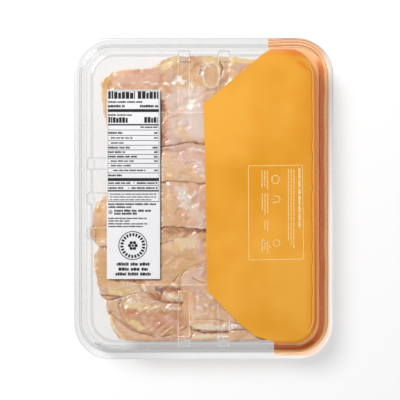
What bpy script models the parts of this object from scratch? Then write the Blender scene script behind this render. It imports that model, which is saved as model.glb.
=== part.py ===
"""Sealed clear tray of thin sliced raw chicken breast, lying on its lidding film.

Metres, +Z up. The origin is at the middle of the underside of the film. The long side of
the tray runs along Y, and the base of the tray, with its labels, faces up.
"""

import math

import bmesh
import bpy
from mathutils import Matrix, Vector
from mathutils.bvhtree import BVHTree

# Driving dimensions of the tray
MM = 0.001
PACK_WIDTH = 215.0 * MM
PACK_LENGTH = 267.0 * MM
BASE_HEIGHT = 30.0 * MM
FLANGE_WIDTH = 6.6 * MM
FLANGE_CORNER = 30.5 * MM
WALL = 0.6 * MM
SIDE_DRAFT = 5.3 * MM
END_DRAFT = 5.8 * MM
BASE_FILLET = 5.4 * MM
GAP = 0.3 * MM

# Film under the flange, and the printed band on its inner face
FILM = 0.3 * MM
BAND = 0.2 * MM
BAND_INSET = 2.5 * MM
BAND_EDGE_LOW = 58.5 * MM
BAND_EDGE_HIGH = 53.5 * MM

# Lugs that cross the rounded edge of the base, and the channels that run in from them:
# two at each end, three on the side away from the orange label
RIB_WIDTH = 9.0 * MM
LUG_PROUD = 0.3 * MM
SIDE_LUG_DEPTH = 5.6 * MM
END_LUG_DEPTH = 7.6 * MM
LUG_INSET = 0.6 * MM
CHANNEL_DEPTH = 0.8 * MM
END_RIB_OFFSETS = (-16.3 * MM, 16.3 * MM)
SIDE_RIB_OFFSETS = (-28.5 * MM, 0.0, 28.5 * MM)
END_CHANNEL = 37.0 * MM
SIDE_CHANNEL = 30.0 * MM

# Labels on the base
LABEL = 0.25 * MM
WHITE_LABEL_SIZE = (43.4 * MM, 154.5 * MM)
WHITE_LABEL_CENTRE = (-57.4 * MM, 11.5 * MM)

# Left part of the outline of the orange label in millimetres: down the slanted side and
# the bowed inner side, then along the curve to the lower edge. Its other sides are those
# of a rounded rectangle, turned a little, that folds down over the upper end of the base.
ORANGE_OUTLINE = (
    (100.0, 130.0), (54.3, 130.0), (54.3, 123.0), (-0.4, 77.2), (0.8, 40.0), (1.7, 0.0),
    (2.4, -69.8), (3.5, -75.5), (7.5, -80.4), (19.8, -92.7), (31.2, -104.1), (41.8, -112.3),
    (50.0, -114.8), (58.0, -117.4), (58.6, -130.0), (100.0, -130.0),
)
ORANGE_RIGHT = 90.8 * MM
ORANGE_UPPER = 123.6 * MM
ORANGE_LOWER = -118.6 * MM
ORANGE_CORNER = 21.0 * MM
ORANGE_TURN = math.radians(0.7)
ORANGE_LOWEST = 21.0 * MM

# Slices: the room that they fill, and how closely one follows the next
CEILING = 28.2 * MM
FLOOR = 1.3 * MM
CLEAR = 0.7 * MM
SLOPE = 1.3
STEP_REACH = 6.0 * MM
SAMPLE_RADII = (3.0 * MM, 6.0 * MM, 9.0 * MM, 12.0 * MM, 16.0 * MM)
SAMPLE_TURNS = 12
EDGE_FULLNESS = 4
COLUMNS = 44
RINGS = 14

FLESH = (0.70, 0.43, 0.29, 1.0)
PALE_FLESH = (0.76, 0.55, 0.42, 1.0)
TAN_FLESH = (0.68, 0.42, 0.24, 1.0)

# Each slice: outline in millimetres, counter-clockwise; thickness at its low-Y side and
# at its high-Y side; the Y range over which the one blends into the other; and colour.
# The first lies against the base, and each later one passes under those before it.
SLICES = {
    "slice_01": dict(
        outline=((-70, 41), (-54, 39.5), (-36, 41), (-11, 46), (0, 44), (37, 43), (67, 45),
                 (80, 60), (84, 84), (78, 103), (58, 111), (38, 114), (17, 116), (-3, 116),
                 (-23, 116), (-32, 114), (-44, 107), (-64, 106), (-77, 103), (-82, 97),
                 (-84, 92), (-83, 78), (-80, 62), (-77, 48)),
        thickness=(13.0, 26.0), blend=(78, 98), colour=FLESH),
    "slice_02": dict(
        outline=((-72, 14), (-56, 12), (-35, 13), (-23, 14), (-11, 13), (1, 12), (30, 10),
                 (62, 12), (78, 22), (81, 40), (72, 58), (46, 74), (1, 79), (-44, 74),
                 (-68, 56), (-74, 32)),
        thickness=(12.5, 12.5), blend=(0, 1), colour=PALE_FLESH),
    "slice_03": dict(
        outline=((-82, -40), (-64, -37), (-48, -29), (-34, -24), (-20, -24), (-8, -25),
                 (1, -26), (30, -28), (58, -26), (77, -18), (83, -2), (79, 15), (62, 27),
                 (30, 34), (-3, 37), (-44, 34), (-66, 20), (-80, 4), (-89, -6), (-91, -22),
                 (-88, -37)),
        thickness=(12.5, 12.5), blend=(0, 1), colour=FLESH),
    "slice_04": dict(
        outline=((-19, -70), (-16, -81), (-18, -92), (-14, -100), (-3, -98.5), (9, -99),
                 (21, -101), (32, -104), (47, -108), (66, -103), (80, -90), (83, -71),
                 (77, -52), (54, -44), (26, -46), (1, -52), (-11, -57), (-17, -62)),
        thickness=(13.0, 13.0), blend=(0, 1), colour=PALE_FLESH),
    "slice_05": dict(
        outline=((-87, -42), (-90, -49), (-89, -58), (-87, -68), (-85, -78), (-79, -83),
                 (-67, -81), (-51, -77), (-36, -84), (-20, -86), (1, -84), (30, -84),
                 (62, -80), (80, -66), (84, -46), (77, -26), (56, -8), (30, 1), (1, 5),
                 (-36, 5), (-64, -10), (-81, -32)),
        thickness=(20.0, 13.0), blend=(-40, -26), colour=TAN_FLESH),
    "slice_06": dict(
        outline=((-68, -84), (-68, -92), (-66, -98), (-60, -105), (-52, -109), (-40, -112),
                 (-28, -112), (-18, -108), (-13, -99), (-14, -90), (-24, -82), (-40, -76),
                 (-58, -78)),
        thickness=(10.0, 10.0), blend=(0, 1), colour=TAN_FLESH),
    "slice_07": dict(
        outline=((-9, -101), (-8, -105.5), (1, -108), (17, -108.5), (30, -107.5),
                 (38, -105), (48, -101), (58, -95), (56, -89.5), (36, -88.5), (5, -88.5),
                 (-6, -93)),
        thickness=(9.0, 9.0), blend=(0, 1), colour=PALE_FLESH),
    "slice_08": dict(
        outline=((-79, -81), (-80, -87), (-78, -95), (-75, -105), (-71, -112), (-65, -116),
                 (-44, -118), (-22, -118), (-12.5, -117), (-10.8, -112),
                 (-11.2, -105.5), (-18, -103), (-26, -102), (-44, -101), (-57, -96),
                 (-64, -88), (-71, -79)),
        thickness=(26.0, 26.0), blend=(0, 1), colour=FLESH),
    "slice_09": dict(
        outline=((-7.5, -117.5), (10, -118.5), (38, -118), (66, -115), (80, -104),
                 (70, -96), (50, -100), (36, -103), (17, -104), (-4, -104.5),
                 (-9.2, -108), (-9.4, -113)),
        thickness=(26.0, 26.0), blend=(0, 1), colour=PALE_FLESH),
}


def clear_scene():
    """Remove every object, so that the script starts from nothing."""
    for item in list(bpy.data.objects):
        bpy.data.objects.remove(item, do_unlink=True)


def collection(name):
    """Make a collection of the scene."""
    group = bpy.data.collections.new(name)
    bpy.context.scene.collection.children.link(group)
    return group


def material(name, colour, roughness, metallic=0.0, alpha=1.0):
    """Make a Principled material of one colour."""
    made = bpy.data.materials.new(name)
    made.use_nodes = True
    shader = made.node_tree.nodes["Principled BSDF"]
    shader.inputs["Base Color"].default_value = colour
    shader.inputs["Roughness"].default_value = roughness
    shader.inputs["Metallic"].default_value = metallic
    shader.inputs["Alpha"].default_value = alpha
    made.diffuse_color = (colour[0], colour[1], colour[2], alpha)
    return made


def add_object(name, shape, group, finish=None):
    """Turn a bmesh into an object of the given collection."""
    mesh = bpy.data.meshes.new(name)
    shape.to_mesh(mesh)
    shape.free()
    item = bpy.data.objects.new(name, mesh)
    group.objects.link(item)
    if finish is not None:
        mesh.materials.append(finish)
    return item


def as_cutter(item):
    """Show a tool shape as wire and keep it out of renders."""
    item.hide_render = True
    item.display_type = "WIRE"
    return item


def add_boolean(item, tool, operation):
    """Join a tool shape to an object, or cut it from it."""
    modifier = item.modifiers.new(f"{operation.lower()} {tool.name}", "BOOLEAN")
    modifier.operation = operation
    modifier.solver = "EXACT"
    modifier.object = tool
    return modifier


def box(shape, low, high):
    """Add a box between two corners to a bmesh."""
    made = bmesh.ops.create_cube(shape, size=1.0)["verts"]
    for vert in made:
        for axis in range(3):
            middle = (low[axis] + high[axis]) / 2
            vert.co[axis] = middle + vert.co[axis] * (high[axis] - low[axis])
    return made


def upright_edges(shape):
    """Edges of a box or frustum that join its lower face to its upper face."""
    return [edge for edge in shape.edges
            if abs(edge.verts[0].co.z - edge.verts[1].co.z) > MM / 100]


def rounded_plate(half_x, half_y, corner, low, high):
    """Flat plate with round corners."""
    shape = bmesh.new()
    box(shape, (-half_x, -half_y, low), (half_x, half_y, high))
    bmesh.ops.bevel(shape, geom=upright_edges(shape), offset=corner, segments=8,
                    profile=0.5, affect="EDGES")
    return shape


def half_size(axis, height):
    """Half width or half length of the drafted walls at a height."""
    outer = (PACK_WIDTH, PACK_LENGTH)[axis] / 2 - FLANGE_WIDTH
    draft = (SIDE_DRAFT, END_DRAFT)[axis]
    return outer - draft * (height - flange_low()) / (BASE_HEIGHT - flange_low())


def flange_low():
    """Height of the flange's underside above the floor."""
    return FILM + GAP + BAND + GAP


def tray_form(grow, low):
    """Closed drafted block with round corners and a rounded base edge, all sides moved
    out by grow."""
    shape = bmesh.new()
    high = BASE_HEIGHT + grow
    for vert in bmesh.ops.create_cube(shape, size=2.0)["verts"]:
        height = high if vert.co.z > 0 else low
        vert.co.x *= half_size(0, height) + grow
        vert.co.y *= half_size(1, height) + grow
        vert.co.z = height
    corner = FLANGE_CORNER - FLANGE_WIDTH + grow
    bmesh.ops.bevel(shape, geom=upright_edges(shape), offset=corner, segments=8,
                    profile=0.5, affect="EDGES")
    rim = [edge for edge in shape.edges
           if all(abs(vert.co.z - high) < MM / 100 for vert in edge.verts)]
    bmesh.ops.bevel(shape, geom=rim, offset=BASE_FILLET + grow, segments=4, profile=0.5,
                    affect="EDGES")
    return shape


def rib_places():
    """Each rib: axis that it runs along, side, offset, length of its channel and depth of
    its lug."""
    for offset in END_RIB_OFFSETS:
        yield 1, -1, offset, END_CHANNEL, END_LUG_DEPTH
        yield 1, 1, offset, END_CHANNEL, END_LUG_DEPTH
    for offset in SIDE_RIB_OFFSETS:
        yield 0, -1, offset, SIDE_CHANNEL, SIDE_LUG_DEPTH


def along(axis, side, offset, inner, outer, half_width, low, high):
    """Corners of a box that runs along an axis, from inner to outer on one side."""
    reach = sorted((side * inner, side * outer))
    across = (offset - half_width, offset + half_width)
    spans = (reach, across) if axis == 0 else (across, reach)
    return ((spans[0][0], spans[1][0], low), (spans[0][1], spans[1][1], high))


def lugs(grow):
    """One block for each rib, over the rounded edge of the base."""
    shape = bmesh.new()
    for axis, side, offset, _, depth in rib_places():
        outer = half_size(axis, BASE_HEIGHT) - LUG_INSET
        low, high = along(axis, side, offset, outer - depth - grow, outer + grow,
                          RIB_WIDTH / 2 + grow, BASE_HEIGHT * 0.6, BASE_HEIGHT + LUG_PROUD + grow)
        box(shape, low, high)
    return shape


def channels(grow):
    """One shallow channel for each rib, from its lug towards the middle of the base."""
    shape = bmesh.new()
    for axis, side, offset, length, depth in rib_places():
        start = half_size(axis, BASE_HEIGHT) - LUG_INSET - depth
        low, high = along(axis, side, offset, start - length - grow, start - GAP + grow,
                          RIB_WIDTH / 2 + grow, BASE_HEIGHT - CHANNEL_DEPTH - grow,
                          BASE_HEIGHT * 1.3)
        box(shape, low, high)
    return shape


def build_tray(parts, tools):
    """Thin clear shell: drafted walls, rounded base with lugs and channels, flange."""
    clear = material("clear_plastic", (0.92, 0.94, 0.95, 1.0), 0.08, alpha=0.25)
    low = flange_low()
    tray = add_object("tray", tray_form(0.0, low + WALL / 2), parts, clear)
    flange = rounded_plate(PACK_WIDTH / 2, PACK_LENGTH / 2, FLANGE_CORNER, low, low + WALL)
    cavity = add_object("cavity", tray_form(-WALL, low - WALL), tools)
    for name, target, shape, operation in (
            ("cavity_lugs", cavity, lugs(-WALL), "UNION"),
            ("cavity_channels", cavity, channels(WALL), "DIFFERENCE"),
            ("flange", tray, flange, "UNION"),
            ("lugs", tray, lugs(0.0), "UNION"),
            ("channels", tray, channels(0.0), "DIFFERENCE")):
        tool = as_cutter(add_object(name, shape, tools))
        add_boolean(target, tool, operation)
    add_boolean(tray, as_cutter(cavity), "DIFFERENCE")
    return tray


def build_film(parts, tools):
    """Lidding film under the flange, and the printed band on its inner face."""
    clear = material("clear_film", (0.95, 0.95, 0.95, 1.0), 0.1, alpha=0.25)
    orange = material("printed_band", (0.75, 0.33, 0.06, 1.0), 0.4)
    add_object("film", rounded_plate(PACK_WIDTH / 2, PACK_LENGTH / 2, FLANGE_CORNER, 0.0,
                                     FILM), parts, clear)
    low = FILM + GAP
    half_x = PACK_WIDTH / 2
    half_y = PACK_LENGTH / 2
    band = add_object("printed_band",
                      rounded_plate(half_x - BAND_INSET, half_y - BAND_INSET,
                                    FLANGE_CORNER - BAND_INSET, low, low + BAND),
                      parts, orange)
    clear_side = prism(((-PACK_WIDTH, -half_y), (BAND_EDGE_LOW, -half_y),
                        (BAND_EDGE_HIGH, half_y), (-PACK_WIDTH, half_y)), -MM, BASE_HEIGHT)
    add_boolean(band, as_cutter(add_object("clear_side", clear_side, tools)), "DIFFERENCE")


def prism(outline, low, high):
    """Upright prism on a closed outline."""
    shape = bmesh.new()
    ring = [shape.verts.new((x, y, low)) for x, y in outline]
    face = shape.faces.new(ring)
    raised = bmesh.ops.extrude_face_region(shape, geom=[face])["geom"]
    for item in raised:
        if isinstance(item, bmesh.types.BMVert):
            item.co.z = high
    bmesh.ops.recalc_face_normals(shape, faces=shape.faces)
    return shape


def build_labels(parts, tools):
    """White label on the flat of the base, orange label folded over the base's upper edge."""
    white = material("white_label", (0.86, 0.86, 0.87, 1.0), 0.45)
    orange = material("orange_label", (0.80, 0.36, 0.05, 1.0), 0.4)
    size_x, size_y = WHITE_LABEL_SIZE
    centre_x, centre_y = WHITE_LABEL_CENTRE
    shape = bmesh.new()
    box(shape, (centre_x - size_x / 2, centre_y - size_y / 2, BASE_HEIGHT + GAP),
        (centre_x + size_x / 2, centre_y + size_y / 2, BASE_HEIGHT + GAP + LABEL))
    add_object("white_label", shape, parts, white)

    outer = add_object("orange_label", tray_form(GAP + LABEL, BASE_HEIGHT / 2), parts, orange)
    inner = as_cutter(add_object("label_inside", tray_form(GAP, BASE_HEIGHT / 4), tools))
    left_side = prism([(x * MM, y * MM) for x, y in ORANGE_OUTLINE], ORANGE_LOWEST,
                      BASE_HEIGHT * 2)
    base_shape = rounded_plate(ORANGE_RIGHT, (ORANGE_UPPER - ORANGE_LOWER) / 2,
                               ORANGE_CORNER, ORANGE_LOWEST - MM, BASE_HEIGHT * 2 + MM)
    bmesh.ops.translate(base_shape, verts=base_shape.verts,
                        vec=(0.0, (ORANGE_UPPER + ORANGE_LOWER) / 2, 0.0))
    bmesh.ops.rotate(base_shape, verts=base_shape.verts, cent=(0.0, 0.0, 0.0),
                     matrix=Matrix.Rotation(ORANGE_TURN, 3, "Z"))
    for name, target, shape, operation in (
            ("label_left_side", outer, left_side, "INTERSECT"),
            ("label_base_shape", outer, base_shape, "INTERSECT")):
        add_boolean(target, as_cutter(add_object(name, shape, tools)), operation)
    add_boolean(outer, inner, "DIFFERENCE")


def outline_at(points, turn):
    """Point of a smooth closed curve through the outline points, for turn from 0 to 1."""
    count = len(points)
    place = (turn % 1.0) * count
    index = int(place)
    t = place - index
    a, b, c, d = (Vector(points[(index + step) % count]) for step in (-1, 0, 1, 2))
    return 0.5 * (2 * b + (c - a) * t + (2 * a - 5 * b + 4 * c - d) * t * t
                  + (3 * b - a - 3 * c + d) * t * t * t) * MM


def smooth(low, high, value):
    """Ease from 0 to 1 as value goes from low to high."""
    t = min(max((value - low) / (high - low), 0.0), 1.0)
    return t * t * (3 - 2 * t)


def underside(trees, x, y):
    """Lowest surface of the slices in front above a point, or the ceiling."""
    lowest = CEILING + CLEAR
    for tree in trees:
        hit = tree.ray_cast(Vector((x, y, -BASE_HEIGHT)), Vector((0, 0, 1)))[0]
        if hit is not None:
            lowest = min(lowest, hit.z)
    return lowest


def top_at(trees, x, y):
    """Height of a slice's top: under what is in front of it, and rising from there no
    steeper than the slope."""
    height = underside(trees, x, y)
    for radius in SAMPLE_RADII:
        rise = SLOPE * max(0.0, radius - STEP_REACH)
        for step in range(SAMPLE_TURNS):
            angle = 2 * math.pi * step / SAMPLE_TURNS
            here = underside(trees, x + radius * math.cos(angle), y + radius * math.sin(angle))
            height = min(height, here + rise)
    return height - CLEAR


def build_slice(name, spec, trees, parts):
    """Soft slab: a sphere whose circles are drawn out to the outline, and whose two
    halves become the top, which follows what lies on it, and the underside."""
    points = spec["outline"]
    centre = sum((Vector(point) for point in points), Vector((0, 0))) / len(points) * MM
    shape = bmesh.new()
    bmesh.ops.create_uvsphere(shape, u_segments=COLUMNS, v_segments=RINGS, radius=1.0)
    for vert in shape.verts:
        reach = math.hypot(vert.co.x, vert.co.y)
        turn = math.atan2(vert.co.y, vert.co.x) / (2 * math.pi)
        spot = centre + (outline_at(points, turn) - centre) * reach
        top = top_at(trees, spot.x, spot.y)
        low, high = spec["thickness"]
        full = low + (high - low) * smooth(*spec["blend"], spot.y / MM)
        thick = min(full * MM, top - FLOOR)
        bulge = math.copysign(math.sqrt(max(0.0, 1 - reach ** EDGE_FULLNESS)), vert.co.z)
        vert.co = (spot.x, spot.y, top - thick / 2 * (1 - bulge))
    finish = material(name, spec["colour"], 0.35)
    item = add_object(name, shape, parts, finish)
    item.data.shade_smooth()
    return item


def build_slices(parts):
    """The slices, from the one against the base to the ones nearest the film."""
    trees = []
    for name, spec in SLICES.items():
        item = build_slice(name, spec, trees, parts)
        corners = [vert.co.copy() for vert in item.data.vertices]
        faces = [tuple(face.vertices) for face in item.data.polygons]
        trees.append(BVHTree.FromPolygons(corners, faces))


def main():
    clear_scene()
    parts = collection("chicken_tray_pack")
    tools = collection("cutters")
    build_tray(parts, tools)
    build_film(parts, tools)
    build_labels(parts, tools)
    build_slices(parts)


main()
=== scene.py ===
"""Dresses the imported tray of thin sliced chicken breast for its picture.

The clear tray and its film, nine wet slices, a white printed label and an orange label.
The tables hold millimetres, and everything that reaches Blender is in metres.
"""
import math

import bmesh
import bpy
import numpy as np
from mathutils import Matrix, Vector


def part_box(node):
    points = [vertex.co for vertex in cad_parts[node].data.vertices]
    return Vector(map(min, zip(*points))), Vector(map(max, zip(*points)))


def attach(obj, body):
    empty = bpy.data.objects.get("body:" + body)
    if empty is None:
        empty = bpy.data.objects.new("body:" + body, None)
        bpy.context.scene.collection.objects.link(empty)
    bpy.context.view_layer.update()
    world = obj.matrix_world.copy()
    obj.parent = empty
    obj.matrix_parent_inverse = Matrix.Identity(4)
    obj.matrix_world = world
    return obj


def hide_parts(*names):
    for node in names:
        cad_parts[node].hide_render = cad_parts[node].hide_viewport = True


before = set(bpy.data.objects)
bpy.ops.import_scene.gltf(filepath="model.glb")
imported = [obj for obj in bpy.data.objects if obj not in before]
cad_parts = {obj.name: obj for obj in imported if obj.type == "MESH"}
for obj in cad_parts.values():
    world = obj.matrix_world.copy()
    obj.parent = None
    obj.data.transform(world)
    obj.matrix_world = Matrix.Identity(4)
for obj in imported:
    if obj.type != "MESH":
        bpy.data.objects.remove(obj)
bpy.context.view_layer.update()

MM = 0.001

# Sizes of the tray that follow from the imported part
TRAY_LOW, TRAY_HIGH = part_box("tray")
HALF_X = TRAY_HIGH[0]
HALF_Y = TRAY_HIGH[1]
FLANGE_LOW = TRAY_LOW[2]
LUG_PROUD = 0.3 * MM
BASE = TRAY_HIGH[2] - LUG_PROUD

# Sizes of the tray as in the part's source
WALL = 0.6 * MM
FLANGE = 6.6 * MM
FLANGE_CORNER = 30.5 * MM
SIDE_DRAFT = 5.3 * MM
END_DRAFT = 5.8 * MM
FILLET = 5.4 * MM
RIB = 9.0 * MM
SIDE_LUG = 5.6 * MM
END_LUG = 7.6 * MM
LUG_INSET = 0.6 * MM
CHANNEL = 0.8 * MM
END_RIBS = (-16.3 * MM, 16.3 * MM)
SIDE_RIBS = (-28.5 * MM, 0.0, 28.5 * MM)
END_CHANNEL = 37.0 * MM
SIDE_CHANNEL = 30.0 * MM
PANEL_HALF = (60.0 * MM, 70.4 * MM)
PANEL_CORNER = 7.0 * MM
BEAD = (0.42 * MM, 0.22 * MM)
LUG_CORNER = 0.5 * MM
CHANNEL_CORNER = 0.8 * MM

# Lowest place of the blocks that make the lugs, and the highest of those that cut the
# channels, as shares of the base's height
LUG_LOW = 0.6
ABOVE = 1.3

# Clear materials of the tray, in the order of its slots: name, tint, mirror straight on and
# at flat angles, roughness, and the tint that it turns to at the lower right. Tints under 1
# on edges, bends, the end wall and its foot are painted shade for the dark lines and bands
# of bent clear plastic. The tints over 1 at the lower right are painted light that makes the
# rim and its outer edge brighter than what lies behind them
CLEAR_FINISHES = (
    ("clear_tray", 0.957, 0.015, 0.14, 0.03), ("clear_edge", 0.74, 0.08, 0.3, 0.08),
    ("clear_bend", 0.89, 0.04, 0.3, 0.05), ("clear_block", 1.00, 0.20, 0.3, 0.35),
    ("clear_rim", 1.13, 0.20, 0.6, 0.30, 1.62), ("clear_shade", 0.885, 0.02, 0.2, 0.05),
    ("clear_foot", 0.60, 0.02, 0.2, 0.05), ("clear_outer", 0.74, 0.08, 0.3, 0.08, 1.22),
)
PLAIN, EDGE, BEND, BLOCK, RIM, SHADE, SHADED_FOOT, OUTER = range(8)
CLEAR_LIP = ("clear_lip", 1.26, 0.22, 0.3, 0.12)
CLEAR_LID = ("clear_lid", 0.998, 0.015, 0.2, 0.12)

# Where the tint turns to the lower right's painted light, as distance towards the lower right
LOW_SIDE = (20.0 * MM, 120.0 * MM)

# Outer face of the flange, from its edge inwards: inset at the sides, inset at the ends,
# height over the flange's top, and the material of the strip that ends there. In
# millimetres.
FLANGE_PROFILE = (
    (0.0, 0.0, -0.1, OUTER), (0.6, 0.6, 0.32, OUTER), (1.0, 1.0, 0.44, RIM),
    (1.6, 1.7, 0.5, RIM), (2.3, 2.6, 0.42, RIM), (2.9, 3.5, 0.12, RIM), (3.9, 5.5, 0.0, RIM),
    (4.2, 5.9, 0.25, EDGE), (4.6, 6.3, 0.3, EDGE), (5.2, 6.9, 0.0, PLAIN),
    (5.5, 7.3, 0.25, PLAIN), (5.8, 7.6, 0.45, EDGE), (6.2, 8.0, 0.5, EDGE),
)

# The wall's inset at its foot, its start over the flange, and the lower end wall, whose
# darker tint is painted shade: where it lies, and the heights between which its foot has
# the darkest painted shade
FOOT = (6.6 * MM, 8.4 * MM)
WALL_START = 1.6 * MM
LOWER_WALL = -119.5 * MM
WALL_FOOT = 6.0 * MM
WALL_SPLIT = 8.0 * MM

# Steps of round corners, of the fillet and of the lips, and the steps of the fillet that
# have the material of an edge and of a bend
CORNER_STEPS = 22
FILLET_STEPS = 12
FILLET_EDGE = 4
FILLET_BEND = 9
BEAD_STEPS = 6
BEAD_SIDES = 8

# Printed band: where it starts at the lower and the upper end, its mesh, and the tones of
# its stripes by distance from the flange's edge, at the side and at the upper end. The pale
# and dark stripes are painted highlights and shade of the clear wall and flange over the
# print. The side lies in painted shadow, and the upper end is paler as painted light. In
# millimetres.
BAND_LEFT = (58.5, 53.5)
BAND_ROWS = 330
BAND_COLUMNS = 90
SIDE_SHADED_STRIPES = (
    (2.5, (246, 210, 186)), (4.0, (246, 210, 186)), (4.4, (226, 158, 112)),
    (5.2, (255, 212, 158)), (6.8, (255, 202, 144)), (7.2, (214, 116, 44)),
    (8.6, (210, 106, 34)), (8.9, (206, 92, 14)), (11.6, (206, 90, 10)),
    (11.9, (252, 190, 134)), (12.3, (248, 176, 108)), (15.6, (246, 170, 98)),
    (17.0, (230, 128, 44)),
)
UPPER_LIT_STRIPES = (
    (0.3, (224, 190, 160)), (0.8, (222, 184, 152)), (1.1, (176, 118, 76)),
    (1.5, (176, 118, 76)), (1.9, (222, 172, 134)), (3.2, (226, 174, 136)),
    (3.5, (176, 108, 62)), (4.0, (172, 102, 56)), (4.3, (238, 182, 134)),
    (5.7, (240, 186, 138)), (6.1, (186, 124, 78)), (6.6, (186, 124, 78)),
    (6.9, (240, 188, 142)), (12.0, (236, 180, 130)), (17.0, (230, 158, 90)),
)
# How strongly the band's print glows, painted light that brightens it in the tray's shade, and
# how far the band reaches past the top of its solid
BAND_GLOW = 0.45
BAND_PAST = 2.2

# Tones painted on the orange label where it folds or wrinkles: painted shade where it folds
# away over the base's edge (fold, warm, crescent, hot, last) and in its creases (dark), a
# painted highlight on the ridge beside a crease (bright), and golden in its upper corner
LABEL_TONES = {
    "fold": (214, 130, 52), "warm": (226, 144, 52), "crescent": (224, 124, 34),
    "hot": (218, 122, 44), "golden": (222, 164, 72), "dark": (186, 106, 34),
    "bright": (244, 166, 88), "last": (196, 116, 58),
}

# Light: white and glow of the floor, place, size and power of the lamp, then the
# world's least light, what is added low down, and how it leans to the lower right
FLOOR_WHITE = 0.48
FLOOR_GLOW = 0.52
KEY_AT = (-0.66, 0.66, 0.98)
KEY_SIZE = 0.50
KEY_POWER = 19.2
WORLD_LOW = 0.21
WORLD_GAIN = 0.20
WORLD_LEAN = (0.14, -0.18)

# Camera above the pack, and how long its lens is
CAMERA_AT = (-3.08 * MM, -1.25 * MM, 1.6)
CAMERA_LENS = 173.08

# The room that the slices fill: their highest place and how much lower it is under a
# channel, their lowest place, and the gap between two of them. In millimetres.
CEILING = 28.8
UNDER_CHANNEL = 0.6
FLOOR = 1.3
CLEAR = 0.22

# Their shape: width of the round rim, width over which the underside falls away, steepest
# slope over another slice, width of the painted shade where slices meet, and how much the
# outline wavers
NOSE_WIDTH = 1.5
UNDER_WIDTH = 9.0
CLIMB = 4.0
GAP_SHADE_WIDTH = 1.9
RIM_WAVE = 0.45

# Depth of the hollows on top, height of the hollows below, least thickness, and how much of
# the rim's rounding goes where two slices cling together
DIP = 0.75
LIFT = 0.5
THINNEST = 0.4
MERGED_FLAT = 0.85

# Square grid on which they are worked out, and the steps and rings of their meshes
CELL = 0.8
GRID_XS = np.arange(-100.0, 100.0 + CELL, CELL)
GRID_YS = np.arange(-128.0, 128.0 + CELL, CELL)
GRID = np.meshgrid(GRID_XS, GRID_YS, indexing="ij")
STEP = 1.0
TOP_RINGS = 76
UNDER_RINGS = 16

# Where two slices cling together with no gap, and so no painted gap shade: a line and its
# half width
MERGED = ((((-64, -79), (-48, -78)), 7.0), (((-13, -96), (-20, -109)), 6.0))

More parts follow.
